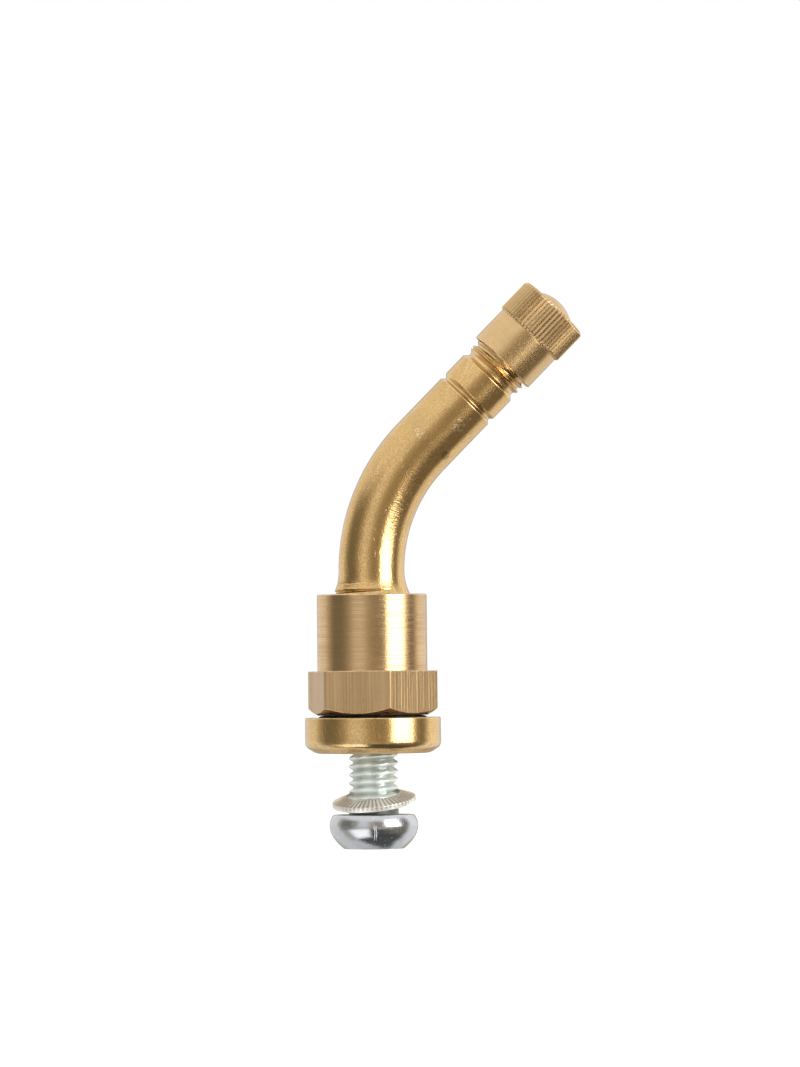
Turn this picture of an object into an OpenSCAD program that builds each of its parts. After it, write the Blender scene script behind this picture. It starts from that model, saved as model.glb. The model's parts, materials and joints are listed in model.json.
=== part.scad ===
// Bent tyre valve with a screwed foot for a pressure sensor, at real size in millimetres.
// The origin is the centre of the foot's top face. +Z runs up the threaded shank,
// and the stem bends towards +X.

/* [Foot] */
// Diameter of the foot disc
foot_d = 16.3; // [15.5:0.1:20]
// Height of the foot disc
foot_h = 4.3; // [3.6:0.1:7]
// Width of the rounded lower edge, along the radius
foot_round_w = 1.35; // [0.5:0.05:1.8]
// Height of the rounded lower edge
foot_round_h = 0.85; // [0.4:0.05:1.5]
// Broken edge at the top of the foot
foot_break = 0.15; // [0.05:0.05:0.4]

/* [Stem] */
// Major diameter of the threaded shank
shank_d = 10; // [9:0.1:11]
// Length of the threaded shank above the foot
shank_len = 14.2; // [11:0.1:20]
// Diameter of the bent stem
stem_d = 7.9; // [7.8:0.1:8.6]
// Radius of the fillet between shank and stem
flare_r = 6; // [3:0.5:10]
// Bend radius of the centre line
bend_radius = 21.3; // [16:0.1:40]
// Angle of the bend
bend_angle = 44.5; // [10:0.5:80]
// Straight length from the bend to the groove
run_len = 7.55; // [6.2:0.05:14]
// Diameter at the root of the groove
groove_d = 7.15; // [6.8:0.05:7.6]
// Width of the groove
groove_w = 0.9; // [0.6:0.05:1.5]
// Length of the collar between groove and mouth thread
collar_len = 3.5; // [2:0.1:6]
// Major diameter of the mouth thread
mouth_thread_d = 7.7; // [7.5:0.05:7.8]
// Length of the mouth thread, with its undercut
mouth_thread_len = 8.75; // [7.5:0.05:12]
// Diameter of the undercut where the mouth thread runs out
undercut_d = 6.9; // [6.6:0.05:7.3]
// Width of the undercut
undercut_w = 0.35; // [0.2:0.05:0.8]
// Chamfer at the ends of the threads
thread_chamfer = 0.4; // [0.2:0.05:0.7]

/* [Bore] */
// Diameter of the air passage
passage_d = 3; // [2:0.1:3.4]
// Diameter of the chamber below the core
chamber_d = 3.9; // [3.8:0.05:4.2]
// Major diameter of the core thread
core_thread_d = 5.2; // [5:0.05:5.5]
// Room below the cup when the pin is pressed home
chamber_spare = 0.4; // [0.2:0.1:1.2]
// Length of the tapped hole in the foot
tap_len = 11; // [10:0.5:14]

/* [Rim seal] */
// Section diameter of the rubber ring
seal_section = 1.8; // [1.4:0.1:2.2]
// Height by which the ring stands above the foot
seal_proud = 0.25; // [0.15:0.05:0.6]

/* [Clamp nut] */
// Hexagon across flats
hex_af = 14; // [13.5:0.5:18]
// Height of the hexagon
hex_h = 5.3; // [4:0.1:8]
// Diameter of the round body above the hexagon
nut_body_d = 13.2; // [12.2:0.1:13.4]
// Height of the round body
nut_body_h = 9.2; // [6:0.1:12]
// Diameter of the circle left by the chamfer under the hexagon
hex_foot_d = 13.2; // [12.6:0.1:13.4]
// Angle of that chamfer, from the foot's face
hex_chamfer_angle = 30; // [15:1:45]
// Way the hexagon's corners point at rest
nut_turn = -15; // [-30:1:30]
// Diameter of the countersinks at both ends of the nut's bore
nut_mouth_d = 11; // [10.6:0.1:11.6]

/* [Cap] */
// Diameter of the plain skirt
cap_skirt_d = 8.74; // [8.5:0.02:9]
// Height of the plain skirt
cap_skirt_h = 4.6; // [3.5:0.1:5.5]
// Diameter over the knurl
cap_knurl_d = 9.3; // [9.1:0.05:10]
// Height of the knurled band
cap_knurl_h = 4.2; // [3:0.1:6]
// Number of knurl ridges
knurl_count = 56; // [36:2:72]
// Depth of the knurl
knurl_depth = 0.16; // [0.08:0.02:0.24]
// Height of the chamfer over the knurl
cap_edge_h = 0.3; // [0.2:0.05:0.8]
// Width of that chamfer, along the radius
cap_edge_w = 0.3; // [0.2:0.05:0.8]
// Thickness of the cap's end wall
cap_wall = 1.4; // [1:0.1:2.5]
// Diameter of the dome on the cap's end
dome_d = 5.6; // [3.5:0.1:6]
// Height of the dome
dome_h = 0.9; // [0.4:0.05:1.5]
// Thickness of the rubber disc in the cap
cap_seal_t = 1; // [0.6:0.1:1.4]

/* [Valve core] */
// Depth of the plug's top below the mouth
plug_recess = 0.5; // [0.3:0.1:0.8]
// Height of the plug with its tongue
plug_h = 4.4; // [4:0.1:5]
// Height of the tongue that the core key turns
tongue_h = 1.2; // [0.8:0.1:1.6]
// Thickness of the tongue
tongue_t = 2.6; // [2.4:0.1:3]
// Width of the tongue
tongue_w = 4.4; // [3.8:0.1:4.6]
// Diameter of the pin
pin_d = 1.2; // [1:0.05:1.4]
// Depth of the pin's tip below the mouth
pin_recess = 0.15; // [0.05:0.05:0.4]
// Diameter of the pin's button head
pin_head_d = 1.6; // [1.5:0.05:1.75]
// Height of the pin's button head
pin_head_h = 0.3; // [0.2:0.05:0.35]
// Travel of the pin
pin_travel = 1.5; // [1:0.1:1.8]
// Diameter of the barrel
barrel_d = 3.6; // [3.4:0.05:3.7]
// Length of the barrel below the plug
barrel_len = 9.8; // [9:0.1:10.5]
// Bore of the barrel
barrel_bore_d = 2.4; // [2.3:0.05:2.6]
// Distance from the plug to the gasket
gasket_lead = 1.3; // [1:0.1:1.6]
// Height of the gasket
gasket_h = 2.4; // [2:0.1:2.8]
// Diameter of the barrel inside the gasket
gasket_bore_d = 3; // [2.9:0.05:3.2]
// Diameter of the barrel's neck in the plug
neck_d = 3; // [2.9:0.05:3.2]
// Length of the barrel's neck
neck_h = 1; // [0.7:0.1:1.3]
// Thickness of the web that the spring stands on
web_h = 1.2; // [0.8:0.1:1.6]
// Hole in that web, round the pin
web_hole_d = 1.8; // [1.65:0.05:2]
// Diameter of the spring's wire
wire_d = 0.32; // [0.24:0.02:0.34]
// Turns of the spring
spring_turns = 8; // [5:0.5:10]
// Outer diameter of the cup
cup_d = 3.2; // [3.1:0.05:3.4]
// Sheet thickness of the cup
cup_wall = 0.2; // [0.15:0.05:0.3]
// Height of the rubber ring in the cup
cup_seal_h = 1.1; // [0.8:0.1:1.3]

/* [Fixing screw] */
// Major diameter of the screw thread
screw_d = 6; // [5:0.5:7]
// Length under the head
screw_len = 12; // [12:0.5:14]
// Distance from the foot to the head, as delivered
screw_backed_out = 7.35; // [7:0.05:8.5]
// Largest diameter of the head
head_d = 10.7; // [10:0.1:13]
// Diameter of the head at its bearing face
head_face_d = 9.8; // [9:0.1:10]
// Diameter of the head's flat end
head_end_d = 7.2; // [6.8:0.1:8]
// Height of the head
head_h = 4.1; // [3.4:0.1:5]
// Depth at which the head is widest
head_waist = 1.3; // [0.8:0.1:1.8]
// Diameter of the drive recess over its six lobes
drive_d = 5.6; // [5:0.1:6]
// Diameter of the drive recess between its lobes
drive_core_d = 3.95; // [3.6:0.05:4.4]
// Diameter of a lobe
lobe_d = 1.44; // [1.2:0.04:1.6]
// Depth of the drive recess
drive_depth = 2.4; // [1.6:0.1:2.8]
// Diameter of the air hole along the screw
screw_hole_d = 2; // [1.5:0.1:2.4]

/* [Lock washer] */
// Outer diameter of the washer
washer_d = 10.1; // [9.6:0.1:12]
// Clearance of the washer on the screw
washer_clear = 0.25; // [0.25:0.05:0.35]
// Sheet thickness, measured along the axis
washer_t = 0.7; // [0.5:0.05:0.9]
// Slope of the cone
washer_slope = 20; // [10:1:24]
// Distance from the head to the washer's rim, on the screw's axis
washer_lift = 1.2; // [1.2:0.05:1.8]
// Lean of the loose washer to the left
washer_lean = 5; // [0:1:6]
// Lean of the loose washer to the front
washer_tilt = 10; // [0:1:10]
// Number of serrations
serration_count = 56; // [24:2:64]
// Depth of a serration
serration_depth = 0.12; // [0.06:0.02:0.2]

/* [Clearances] */
// Between threads in mesh, along the radius
thread_clear = 0.05; // [0.02:0.01:0.1]
// Between a piece and the seat that it lies on
seat_gap = 0.03; // [0.02:0.01:0.05]
// Between the rubber ring and its groove
seal_clear = 0.05; // [0.02:0.01:0.1]
// By which the turned tip is thinner than the bent bar, along the radius
tip_step = 0.01; // [0.01:0.01:0.03]

/* [Hidden] */
$fn = 64;

// Overshoot of a cut past the face that it opens
over = 1;
// Number of straight steps that stand for a rounded edge
arc_steps = 8;

// Levels on the shank's axis
flare_turn = acos(1 - (shank_d - stem_d) / 2 / flare_r);
bend_z = shank_len + flare_r * sin(flare_turn);
head_z = -foot_h - screw_backed_out;
tap_z = -foot_h + tap_len;
nut_z = seal_proud + seat_gap;
seal_groove_z = seal_proud - seal_section - seat_gap;
seal_groove_d = shank_d + 2 * seal_section + 4 * seal_clear;

// Heights on the tip's axis, from the end of the bend
collar_u = run_len + groove_w;
undercut_u = collar_u + collar_len;
mouth_u = undercut_u + mouth_thread_len;
cap_ceiling_u = mouth_u + cap_seal_t + 2 * seat_gap;
cap_top_u = cap_ceiling_u + cap_wall;
cap_knurl_u = cap_top_u - cap_edge_h - cap_knurl_h;
cap_foot_u = cap_knurl_u - cap_skirt_h;
groove_side = (stem_d - groove_d) / 4;
// Length by which the turned tip reaches into the bend, short enough to stay inside it
tip_lap = sqrt(bend_radius * tip_step);
tip_r = stem_d / 2 - tip_step;

// Depths on the tip's axis, from the mouth
plug_w = plug_recess + plug_h;
barrel_w = plug_w + seat_gap;
gasket_w = barrel_w + gasket_lead;
rim_w = barrel_w + barrel_len;
rim_recess = 1;
web_w = rim_w - rim_recess - web_h;
pin_collar_drop = 0.6;
pin_collar_w = barrel_w + pin_collar_drop;
pin_collar_h = 0.5;
cup_seal_w = rim_w + seat_gap;
cup_floor_w = cup_seal_w + cup_seal_h + seat_gap;
pin_foot_w = cup_floor_w + cup_wall + seat_gap;
pin_foot_h = 0.4;
chamber_w = pin_foot_w + pin_foot_h + pin_travel + chamber_spare;
thread_run_out = 0.5;
seat_spare = 0.2;
seat_d = 4.75;
pin_bore_d = pin_head_d + 6 * thread_clear;
spring_d = (pin_d + barrel_bore_d) / 2;

// Points on an arc of radius r round c
function arc(c, r, from, to) =
    [for (i = [0:arc_steps]) let (a = from + (to - from) * i / arc_steps) c + r * [cos(a), sin(a)]];

// Points on a quarter ellipse round c, with half axes w and h
function rounded(c, w, h, from, to) =
    [for (i = [0:arc_steps]) let (a = from + (to - from) * i / arc_steps) c + [w * cos(a), h * sin(a)]];

// Radius of the conical seat in the stem at depth w
function seat_r(w) =
    let (top = gasket_w - seat_spare, low = gasket_w + gasket_h + seat_spare)
    (seat_d + (chamber_d - seat_d) * (w - top) / (low - top)) / 2;

// Radius of the screw's head at depth h under its bearing face: a curve that is widest at head_waist
function head_r(h) =
    let (
        end_d = h < head_waist ? head_face_d : head_end_d,
        reach = h < head_waist ? head_waist : head_h - head_waist
    )
    (head_d - (head_d - end_d) * pow((h - head_waist) / reach, 2)) / 2;

// Centre of the spring's wire, t turns from its lower end
function coil_point(t, pitch) = [spring_d / 2 * cos(360 * t), spring_d / 2 * sin(360 * t), pitch * t];

// Revolves a profile of [radius, height] points
module turned(profile) {
    rotate_extrude()
        polygon(profile);
}

// Revolves a profile of [radius, depth] points, with its depths counted down from the mouth
module turned_from_mouth(profile) {
    translate([0, 0, mouth_u])
        mirror([0, 0, 1])
            turned(profile);
}

// Places a shape on the tip's axis, with its zero at the end of the bend
module on_tip() {
    translate([bend_radius * (1 - cos(bend_angle)), 0, bend_z + bend_radius * sin(bend_angle)])
        rotate([0, bend_angle, 0])
            children();
}

// Round bar of diameter d along the bend
module bend(d) {
    translate([bend_radius, 0, bend_z])
        rotate([90, 0, 180])
            rotate_extrude(angle = bend_angle)
                translate([bend_radius, 0])
                    circle(d = d);
}

// Foot, shank and flare, up to the bend
module stem_root() {
    turned(concat(
        [[0, -foot_h]],
        rounded([foot_d / 2 - foot_round_w, -foot_h + foot_round_h], foot_round_w, foot_round_h, -90, 0),
        [
            [foot_d / 2, -foot_break],
            [foot_d / 2 - foot_break, 0],
            [seal_groove_d / 2, 0],
            [seal_groove_d / 2, seal_groove_z],
            [shank_d / 2, seal_groove_z],
        ],
        arc([stem_d / 2 + flare_r, bend_z], flare_r, 180 + flare_turn, 180),
        [[0, bend_z]]
    ));
}

// Straight tip with the groove, the collar and the threaded mouth
module stem_tip() {
    undercut_drop = tip_r - undercut_d / 2;
    thread_rise = (mouth_thread_d - undercut_d) / 2;
    turned([
        [0, -tip_lap],
        [tip_r, -tip_lap],
        [tip_r, run_len],
        [groove_d / 2, run_len + groove_side],
        [groove_d / 2, collar_u - groove_side],
        [tip_r, collar_u],
        [tip_r, undercut_u - undercut_drop],
        [undercut_d / 2, undercut_u],
        [undercut_d / 2, undercut_u + undercut_w],
        [mouth_thread_d / 2, undercut_u + undercut_w + thread_rise],
        [mouth_thread_d / 2, mouth_u - thread_chamfer],
        [mouth_thread_d / 2 - thread_chamfer, mouth_u],
        [0, mouth_u],
    ]);
}

// Tapped hole in the foot and the straight air passage above it
module root_bore() {
    tap_r = screw_d / 2 + thread_clear;
    turned([
        [0, -foot_h - over],
        [tap_r + thread_chamfer, -foot_h - over],
        [tap_r + thread_chamfer, -foot_h],
        [tap_r, -foot_h + thread_chamfer],
        [tap_r, tap_z],
        [passage_d / 2, tap_z + tap_r - passage_d / 2],
        [passage_d / 2, bend_z],
        [0, bend_z],
    ]);
}

// Stepped chamber that takes the valve core
module tip_bore() {
    seat_top_w = gasket_w - seat_spare;
    passage_r = passage_d / 2 + tip_step;
    turned_from_mouth([
        [0, -over],
        [core_thread_d / 2 + thread_chamfer, -over],
        [core_thread_d / 2 + thread_chamfer, 0],
        [core_thread_d / 2, thread_chamfer],
        [core_thread_d / 2, plug_w + thread_run_out],
        [seat_d / 2, seat_top_w],
        [chamber_d / 2, gasket_w + gasket_h + seat_spare],
        [chamber_d / 2, chamber_w],
        [passage_r, chamber_w + chamber_d / 2 - passage_r],
        [passage_r, mouth_u + tip_lap],
        [0, mouth_u + tip_lap],
    ]);
}

module valve_stem() {
    color("goldenrod")
        difference() {
            union() {
                stem_root();
                bend(stem_d);
                on_tip() stem_tip();
            }
            root_bore();
            bend(passage_d);
            on_tip() tip_bore();
        }
}

module rim_seal() {
    color("black")
        translate([0, 0, seal_proud - seal_section / 2])
            rotate_extrude()
                translate([shank_d / 2 + seal_clear + seal_section / 2, 0])
                    circle(d = seal_section);
}

// Hexagon with the chamfer under it
module nut_hexagon() {
    corner_r = hex_af / 2 / cos(30);
    clear_r = corner_r + over;
    chamfer_h = (clear_r - hex_foot_d / 2) * tan(hex_chamfer_angle);
    intersection() {
        rotate([0, 0, nut_turn])
            cylinder(r = corner_r, h = hex_h, $fn = 6);
        turned([
            [0, 0],
            [hex_foot_d / 2, 0],
            [clear_r, chamfer_h],
            [clear_r, hex_h + over],
            [0, hex_h + over],
        ]);
    }
}

// Threaded bore of the nut, with a countersink at each end
module nut_bore() {
    bore_r = shank_d / 2 + thread_clear;
    mouth_r = nut_mouth_d / 2;
    nut_h = hex_h + nut_body_h;
    turned([
        [0, -over],
        [mouth_r, -over],
        [mouth_r, 0],
        [bore_r, mouth_r - bore_r],
        [bore_r, nut_h - mouth_r + bore_r],
        [mouth_r, nut_h],
        [mouth_r, nut_h + over],
        [0, nut_h + over],
    ]);
}

module clamp_nut() {
    body_r = nut_body_d / 2;
    color("peru")
        translate([0, 0, nut_z])
            difference() {
                union() {
                    nut_hexagon();
                    turned([
                        [0, hex_h],
                        [body_r, hex_h],
                        [body_r, hex_h + nut_body_h - foot_break],
                        [body_r - foot_break, hex_h + nut_body_h],
                        [0, hex_h + nut_body_h],
                    ]);
                }
                nut_bore();
            }
}

// Straight knurl: one V-shaped ridge for each step round the band
module knurled_band() {
    ridge_r = cap_knurl_d / 2;
    linear_extrude(cap_knurl_h + cap_edge_h)
        polygon([
            for (i = [0:2 * knurl_count - 1])
                let (r = ridge_r - (i % 2) * knurl_depth, a = 180 * i / knurl_count)
                [r * cos(a), r * sin(a)]
        ]);
}

module valve_cap() {
    bore_r = mouth_thread_d / 2 + thread_clear;
    ridge_r = cap_knurl_d / 2;
    clear_r = ridge_r + knurl_depth;
    skirt_r = cap_skirt_d / 2;
    dome_r = (pow(dome_d / 2, 2) + pow(dome_h, 2)) / 2 / dome_h;
    dome_turn = asin(dome_d / 2 / dome_r);
    color("burlywood")
        on_tip()
            difference() {
                union() {
                    translate([0, 0, cap_foot_u])
                        cylinder(r = skirt_r, h = cap_skirt_h);
                    intersection() {
                        translate([0, 0, cap_knurl_u])
                            knurled_band();
                        turned([
                            [0, cap_knurl_u],
                            [skirt_r, cap_knurl_u],
                            [clear_r, cap_knurl_u + clear_r - skirt_r],
                            [clear_r, cap_top_u - cap_edge_h * (1 + knurl_depth / cap_edge_w)],
                            [ridge_r - cap_edge_w, cap_top_u],
                            [0, cap_top_u],
                        ]);
                    }
                    turned(concat(
                        [[0, cap_top_u]],
                        arc([0, cap_top_u + dome_h - dome_r], dome_r, 90 - dome_turn, 90)
                    ));
                }
                turned([
                    [0, cap_foot_u - over],
                    [bore_r + thread_clear, cap_foot_u - over],
                    [bore_r + thread_clear, cap_foot_u],
                    [bore_r, cap_foot_u + thread_chamfer],
                    [bore_r, cap_ceiling_u],
                    [0, cap_ceiling_u],
                ]);
            }
}

module cap_seal() {
    color("dimgray")
        on_tip()
            translate([0, 0, mouth_u + seat_gap])
                cylinder(d = mouth_thread_d - 2 * thread_chamfer, h = cap_seal_t);
}

module core_plug() {
    thread_r = core_thread_d / 2 - thread_clear;
    neck_r = neck_d / 2 + thread_clear;
    color("gold")
        on_tip()
            difference() {
                union() {
                    turned_from_mouth([
                        [0, plug_recess + tongue_h],
                        [thread_r - thread_chamfer, plug_recess + tongue_h],
                        [thread_r, plug_recess + tongue_h + thread_chamfer],
                        [thread_r, plug_w - thread_chamfer],
                        [thread_r - thread_chamfer, plug_w],
                        [0, plug_w],
                    ]);
                    translate([0, 0, mouth_u - plug_recess - tongue_h])
                        intersection() {
                            cylinder(d = tongue_w, h = tongue_h);
                            translate([-tongue_w / 2, -tongue_t / 2, 0])
                                cube([tongue_w, tongue_t, tongue_h]);
                        }
                }
                turned_from_mouth([
                    [0, plug_recess - over],
                    [pin_bore_d / 2, plug_recess - over],
                    [pin_bore_d / 2, plug_w - neck_h - thread_clear],
                    [neck_r, plug_w - neck_h - thread_clear],
                    [neck_r, plug_w + over],
                    [0, plug_w + over],
                ]);
            }
}

module core_barrel() {
    bore_r = barrel_bore_d / 2;
    rim_r = (cup_d / 2 - cup_wall + pin_d / 2) / 2;
    rim_half = 0.12;
    color("khaki")
        on_tip()
            turned_from_mouth([
                [bore_r, plug_w - neck_h],
                [neck_d / 2, plug_w - neck_h],
                [neck_d / 2, barrel_w],
                [barrel_d / 2, barrel_w],
                [barrel_d / 2, gasket_w],
                [gasket_bore_d / 2, gasket_w],
                [gasket_bore_d / 2, gasket_w + gasket_h],
                [barrel_d / 2, gasket_w + gasket_h],
                [barrel_d / 2, rim_w - rim_recess],
                [rim_r + rim_half, rim_w],
                [rim_r - rim_half, rim_w],
                [web_hole_d / 2, rim_w - rim_recess],
                [web_hole_d / 2, web_w],
                [bore_r, web_w],
            ]);
}

module core_gasket() {
    inner_r = gasket_bore_d / 2 + seat_gap;
    top_w = gasket_w + seat_gap;
    low_w = gasket_w + gasket_h - seat_gap;
    color("firebrick")
        on_tip()
            turned_from_mouth([
                [inner_r, top_w],
                [seat_r(top_w) - seat_gap, top_w],
                [seat_r(low_w) - seat_gap, low_w],
                [inner_r, low_w],
            ]);
}

module core_pin() {
    head_r = pin_head_d / 2;
    collar_r = barrel_bore_d / 2 - 2 * thread_clear;
    head_edge = pin_head_h / 3;
    color("silver")
        on_tip()
            turned_from_mouth([
                [0, pin_recess],
                [head_r - head_edge, pin_recess],
                [head_r, pin_recess + head_edge],
                [head_r, pin_recess + pin_head_h],
                [pin_d / 2, pin_recess + pin_head_h],
                [pin_d / 2, pin_collar_w],
                [collar_r, pin_collar_w],
                [collar_r, pin_collar_w + pin_collar_h],
                [pin_d / 2, pin_collar_w + pin_collar_h],
                [pin_d / 2, pin_foot_w],
                [pin_d / 2 + cup_wall, pin_foot_w],
                [pin_d / 2 + cup_wall, pin_foot_w + pin_foot_h],
                [0, pin_foot_w + pin_foot_h],
            ]);
}

// Coil of round wire between the web and the pin's collar
module core_spring() {
    sides = 6;
    steps = 12;
    low_u = mouth_u - web_w + wire_d / 2 + seat_gap;
    high_u = mouth_u - pin_collar_w - pin_collar_h - wire_d / 2 - seat_gap;
    pitch = (high_u - low_u) / spring_turns;
    rings = round(spring_turns * steps);
    points = [
        for (i = [0:rings])
            let (t = i * spring_turns / rings, c = coil_point(t, pitch), out = [cos(360 * t), sin(360 * t), 0])
            for (k = [0:sides - 1])
                c + wire_d / 2 * (cos(360 * k / sides) * out + [0, 0, sin(360 * k / sides)])
    ];
    walls = [
        for (i = [0:rings - 1], k = [0:sides - 1])
            let (a = i * sides + k, b = i * sides + (k + 1) % sides)
            each [[a, b, b + sides], [a, b + sides, a + sides]]
    ];
    first_end = [for (k = [0:sides - 1]) sides - 1 - k];
    last_end = [for (k = [0:sides - 1]) rings * sides + k];
    color("lightsteelblue")
        on_tip()
            translate([0, 0, low_u])
                polyhedron(points, concat(walls, [first_end, last_end]));
}

module core_cup() {
    outer_r = cup_d / 2;
    hole_r = pin_d / 2 + seat_gap;
    lip_w = cup_seal_w + cup_wall;
    color("gold")
        on_tip()
            turned_from_mouth([
                [outer_r - cup_wall, lip_w],
                [outer_r, lip_w],
                [outer_r, cup_floor_w],
                [outer_r - cup_wall, cup_floor_w + cup_wall],
                [hole_r, cup_floor_w + cup_wall],
                [hole_r, cup_floor_w],
                [outer_r - cup_wall, cup_floor_w],
            ]);
}

module core_cup_seal() {
    inner_r = pin_d / 2 + seat_gap;
    outer_r = cup_d / 2 - cup_wall - seat_gap;
    color("black")
        on_tip()
            turned_from_mouth([
                [inner_r, cup_seal_w],
                [outer_r, cup_seal_w],
                [outer_r, cup_seal_w + cup_seal_h],
                [inner_r, cup_seal_w + cup_seal_h],
            ]);
}

// Six-lobed drive recess, open downwards
module drive_recess() {
    translate([0, 0, -over]) {
        cylinder(d = drive_core_d, h = drive_depth + over);
        for (i = [0:5])
            rotate([0, 0, 60 * i])
                translate([(drive_d - lobe_d) / 2, 0, 0])
                    cylinder(d = lobe_d, h = drive_depth + over);
    }
}

module fixing_screw() {
    end_z = head_z - head_h;
    tip_z = head_z + screw_len;
    color("gainsboro")
        difference() {
            turned(concat(
                [[0, end_z]],
                [for (i = [arc_steps:-1:0]) let (h = head_h * i / arc_steps) [head_r(h), head_z - h]],
                [
                    [screw_d / 2, head_z],
                    [screw_d / 2, tip_z - thread_chamfer],
                    [screw_d / 2 - thread_chamfer, tip_z],
                    [0, tip_z],
                ]
            ));
            translate([0, 0, end_z])
                drive_recess();
            translate([0, 0, end_z - over])
                cylinder(d = screw_hole_d, h = head_h + screw_len + 2 * over);
        }
}

// Conical ring whose upper face rises and falls in steps of one half serration
module serrated_ring(hole_r, rim_r, rise) {
    count = 2 * serration_count;
    corners = [[hole_r, rise], [rim_r, 0], [rim_r, washer_t], [hole_r, rise + washer_t]];
    sides = len(corners);
    points = [
        for (i = [0:count - 1], k = [0:sides - 1])
            let (a = 360 * i / count, drop = k < 2 ? 0 : (i % 2) * serration_depth)
            [corners[k][0] * cos(a), corners[k][0] * sin(a), corners[k][1] - drop]
    ];
    polyhedron(points, [
        for (i = [0:count - 1], k = [0:sides - 1])
            let (
                near = i * sides + k,
                near_next = i * sides + (k + 1) % sides,
                far = (i + 1) % count * sides + k,
                far_next = (i + 1) % count * sides + (k + 1) % sides
            )
            each [[near, near_next, far_next], [near, far_next, far]]
    ]);
}

module lock_washer() {
    hole_r = screw_d / 2 + washer_clear;
    rim_r = washer_d / 2;
    rise = (rim_r - hole_r) * tan(washer_slope);
    hole_h = rise + washer_t / 2;
    color("tan")
        translate([0, 0, head_z + washer_lift + hole_h])
            rotate([washer_tilt, -washer_lean, 0])
                translate([0, 0, -hole_h])
                    serrated_ring(hole_r, rim_r, rise);
}

valve_stem();
rim_seal();
clamp_nut();
valve_cap();
cap_seal();
core_plug();
core_barrel();
core_gasket();
core_pin();
core_spring();
core_cup();
core_cup_seal();
fixing_screw();
lock_washer();
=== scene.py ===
import json
import math
from collections import namedtuple

import bpy
from bpy.props import FloatProperty, FloatVectorProperty, IntProperty, PointerProperty
from bpy.types import Operator, Panel, PropertyGroup
from mathutils import Matrix, Vector


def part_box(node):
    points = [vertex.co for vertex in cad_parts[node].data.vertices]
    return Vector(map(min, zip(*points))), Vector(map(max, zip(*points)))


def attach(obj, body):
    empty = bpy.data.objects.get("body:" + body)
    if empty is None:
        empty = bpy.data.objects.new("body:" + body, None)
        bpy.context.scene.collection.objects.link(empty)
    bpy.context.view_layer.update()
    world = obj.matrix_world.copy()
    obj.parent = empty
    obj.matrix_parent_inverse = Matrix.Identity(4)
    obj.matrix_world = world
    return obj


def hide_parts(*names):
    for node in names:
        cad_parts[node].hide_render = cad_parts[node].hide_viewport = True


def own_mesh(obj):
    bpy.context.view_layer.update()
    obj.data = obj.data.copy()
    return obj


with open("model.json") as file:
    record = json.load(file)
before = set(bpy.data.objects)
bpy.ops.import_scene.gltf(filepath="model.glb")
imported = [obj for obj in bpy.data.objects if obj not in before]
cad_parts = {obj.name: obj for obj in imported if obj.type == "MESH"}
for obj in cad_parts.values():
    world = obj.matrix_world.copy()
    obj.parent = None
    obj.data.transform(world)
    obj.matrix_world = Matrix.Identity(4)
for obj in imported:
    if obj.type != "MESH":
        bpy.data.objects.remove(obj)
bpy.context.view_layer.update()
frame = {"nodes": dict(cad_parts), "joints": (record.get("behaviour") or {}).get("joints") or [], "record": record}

bl_info = {
    "name": "Bent Tyre Valve",
    "version": (1, 0, 0),
    "blender": (4, 5, 0),
    "location": "3D View > Sidebar > Tyre Valve",
    "description": "Turns, bends, threads and finishes a bent tyre valve on its packed frame",
    "category": "Add Mesh",
}

MM = 0.001
FULL_TURN = 2 * math.pi
JOINTS = {joint["name"]: joint for joint in frame["joints"]}
MOUNTS = {mount["name"]: mount for mount in frame["record"]["mounts"]}

# The stem's centre line: straight up Z, one bend towards X, then the straight tip
TIP_AXIS = Vector(JOINTS["cap_turn"]["axis"]).normalized()
BEND_END = Vector(JOINTS["cap_turn"]["pos_m"])
BEND_ANGLE = math.atan2(TIP_AXIS.x, TIP_AXIS.z)
BEND_RADIUS = BEND_END.x / (1 - math.cos(BEND_ANGLE))
BEND_START = BEND_END.z - BEND_RADIUS * math.sin(BEND_ANGLE)
TIP_START = BEND_START + BEND_RADIUS * BEND_ANGLE
MOUTH = (Vector(MOUNTS["inflation_mouth"]["pos_m"]) - BEND_END).length
TIP_PLACE = Matrix.Translation(BEND_END) @ Matrix.Rotation(BEND_ANGLE, 4, "Y")

FOOT_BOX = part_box("valve_stem")
NUT_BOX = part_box("clamp_nut")
SCREW_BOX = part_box("fixing_screw")
RING_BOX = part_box("rim_seal")

# Points round a turned piece, points round each ridge or tooth, and arcs in a rounded edge
ROUND, PER_RIDGE, ARCS = 96, 8, 5
# Distance of the ring that holds a rounded edge, as a share of the rounding, and the share of a
# line that one corner may take up. A ring nearer to its edge than the least distance is left out.
HOLD_SHARE, LINE_SHARE, LEAST_HOLD = 0.5, 0.45, 1e-6


def length(name, description, default):
    """A length property whose default is in millimetres."""
    return FloatProperty(
        name=name, description=description, default=default * MM, min=0, precision=5, unit="LENGTH"
    )


def angle(name, description, default):
    """An angle property whose default is in degrees."""
    return FloatProperty(
        name=name, description=description, default=math.radians(default), subtype="ANGLE"
    )


def number(name, description, default):
    """A property that counts like features."""
    return IntProperty(name=name, description=description, default=default, min=3)


def tint(name, description, default):
    """A colour property, in linear light."""
    return FloatVectorProperty(
        name=name, description=description, default=default, min=0, max=1, size=3, subtype="COLOR"
    )


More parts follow.
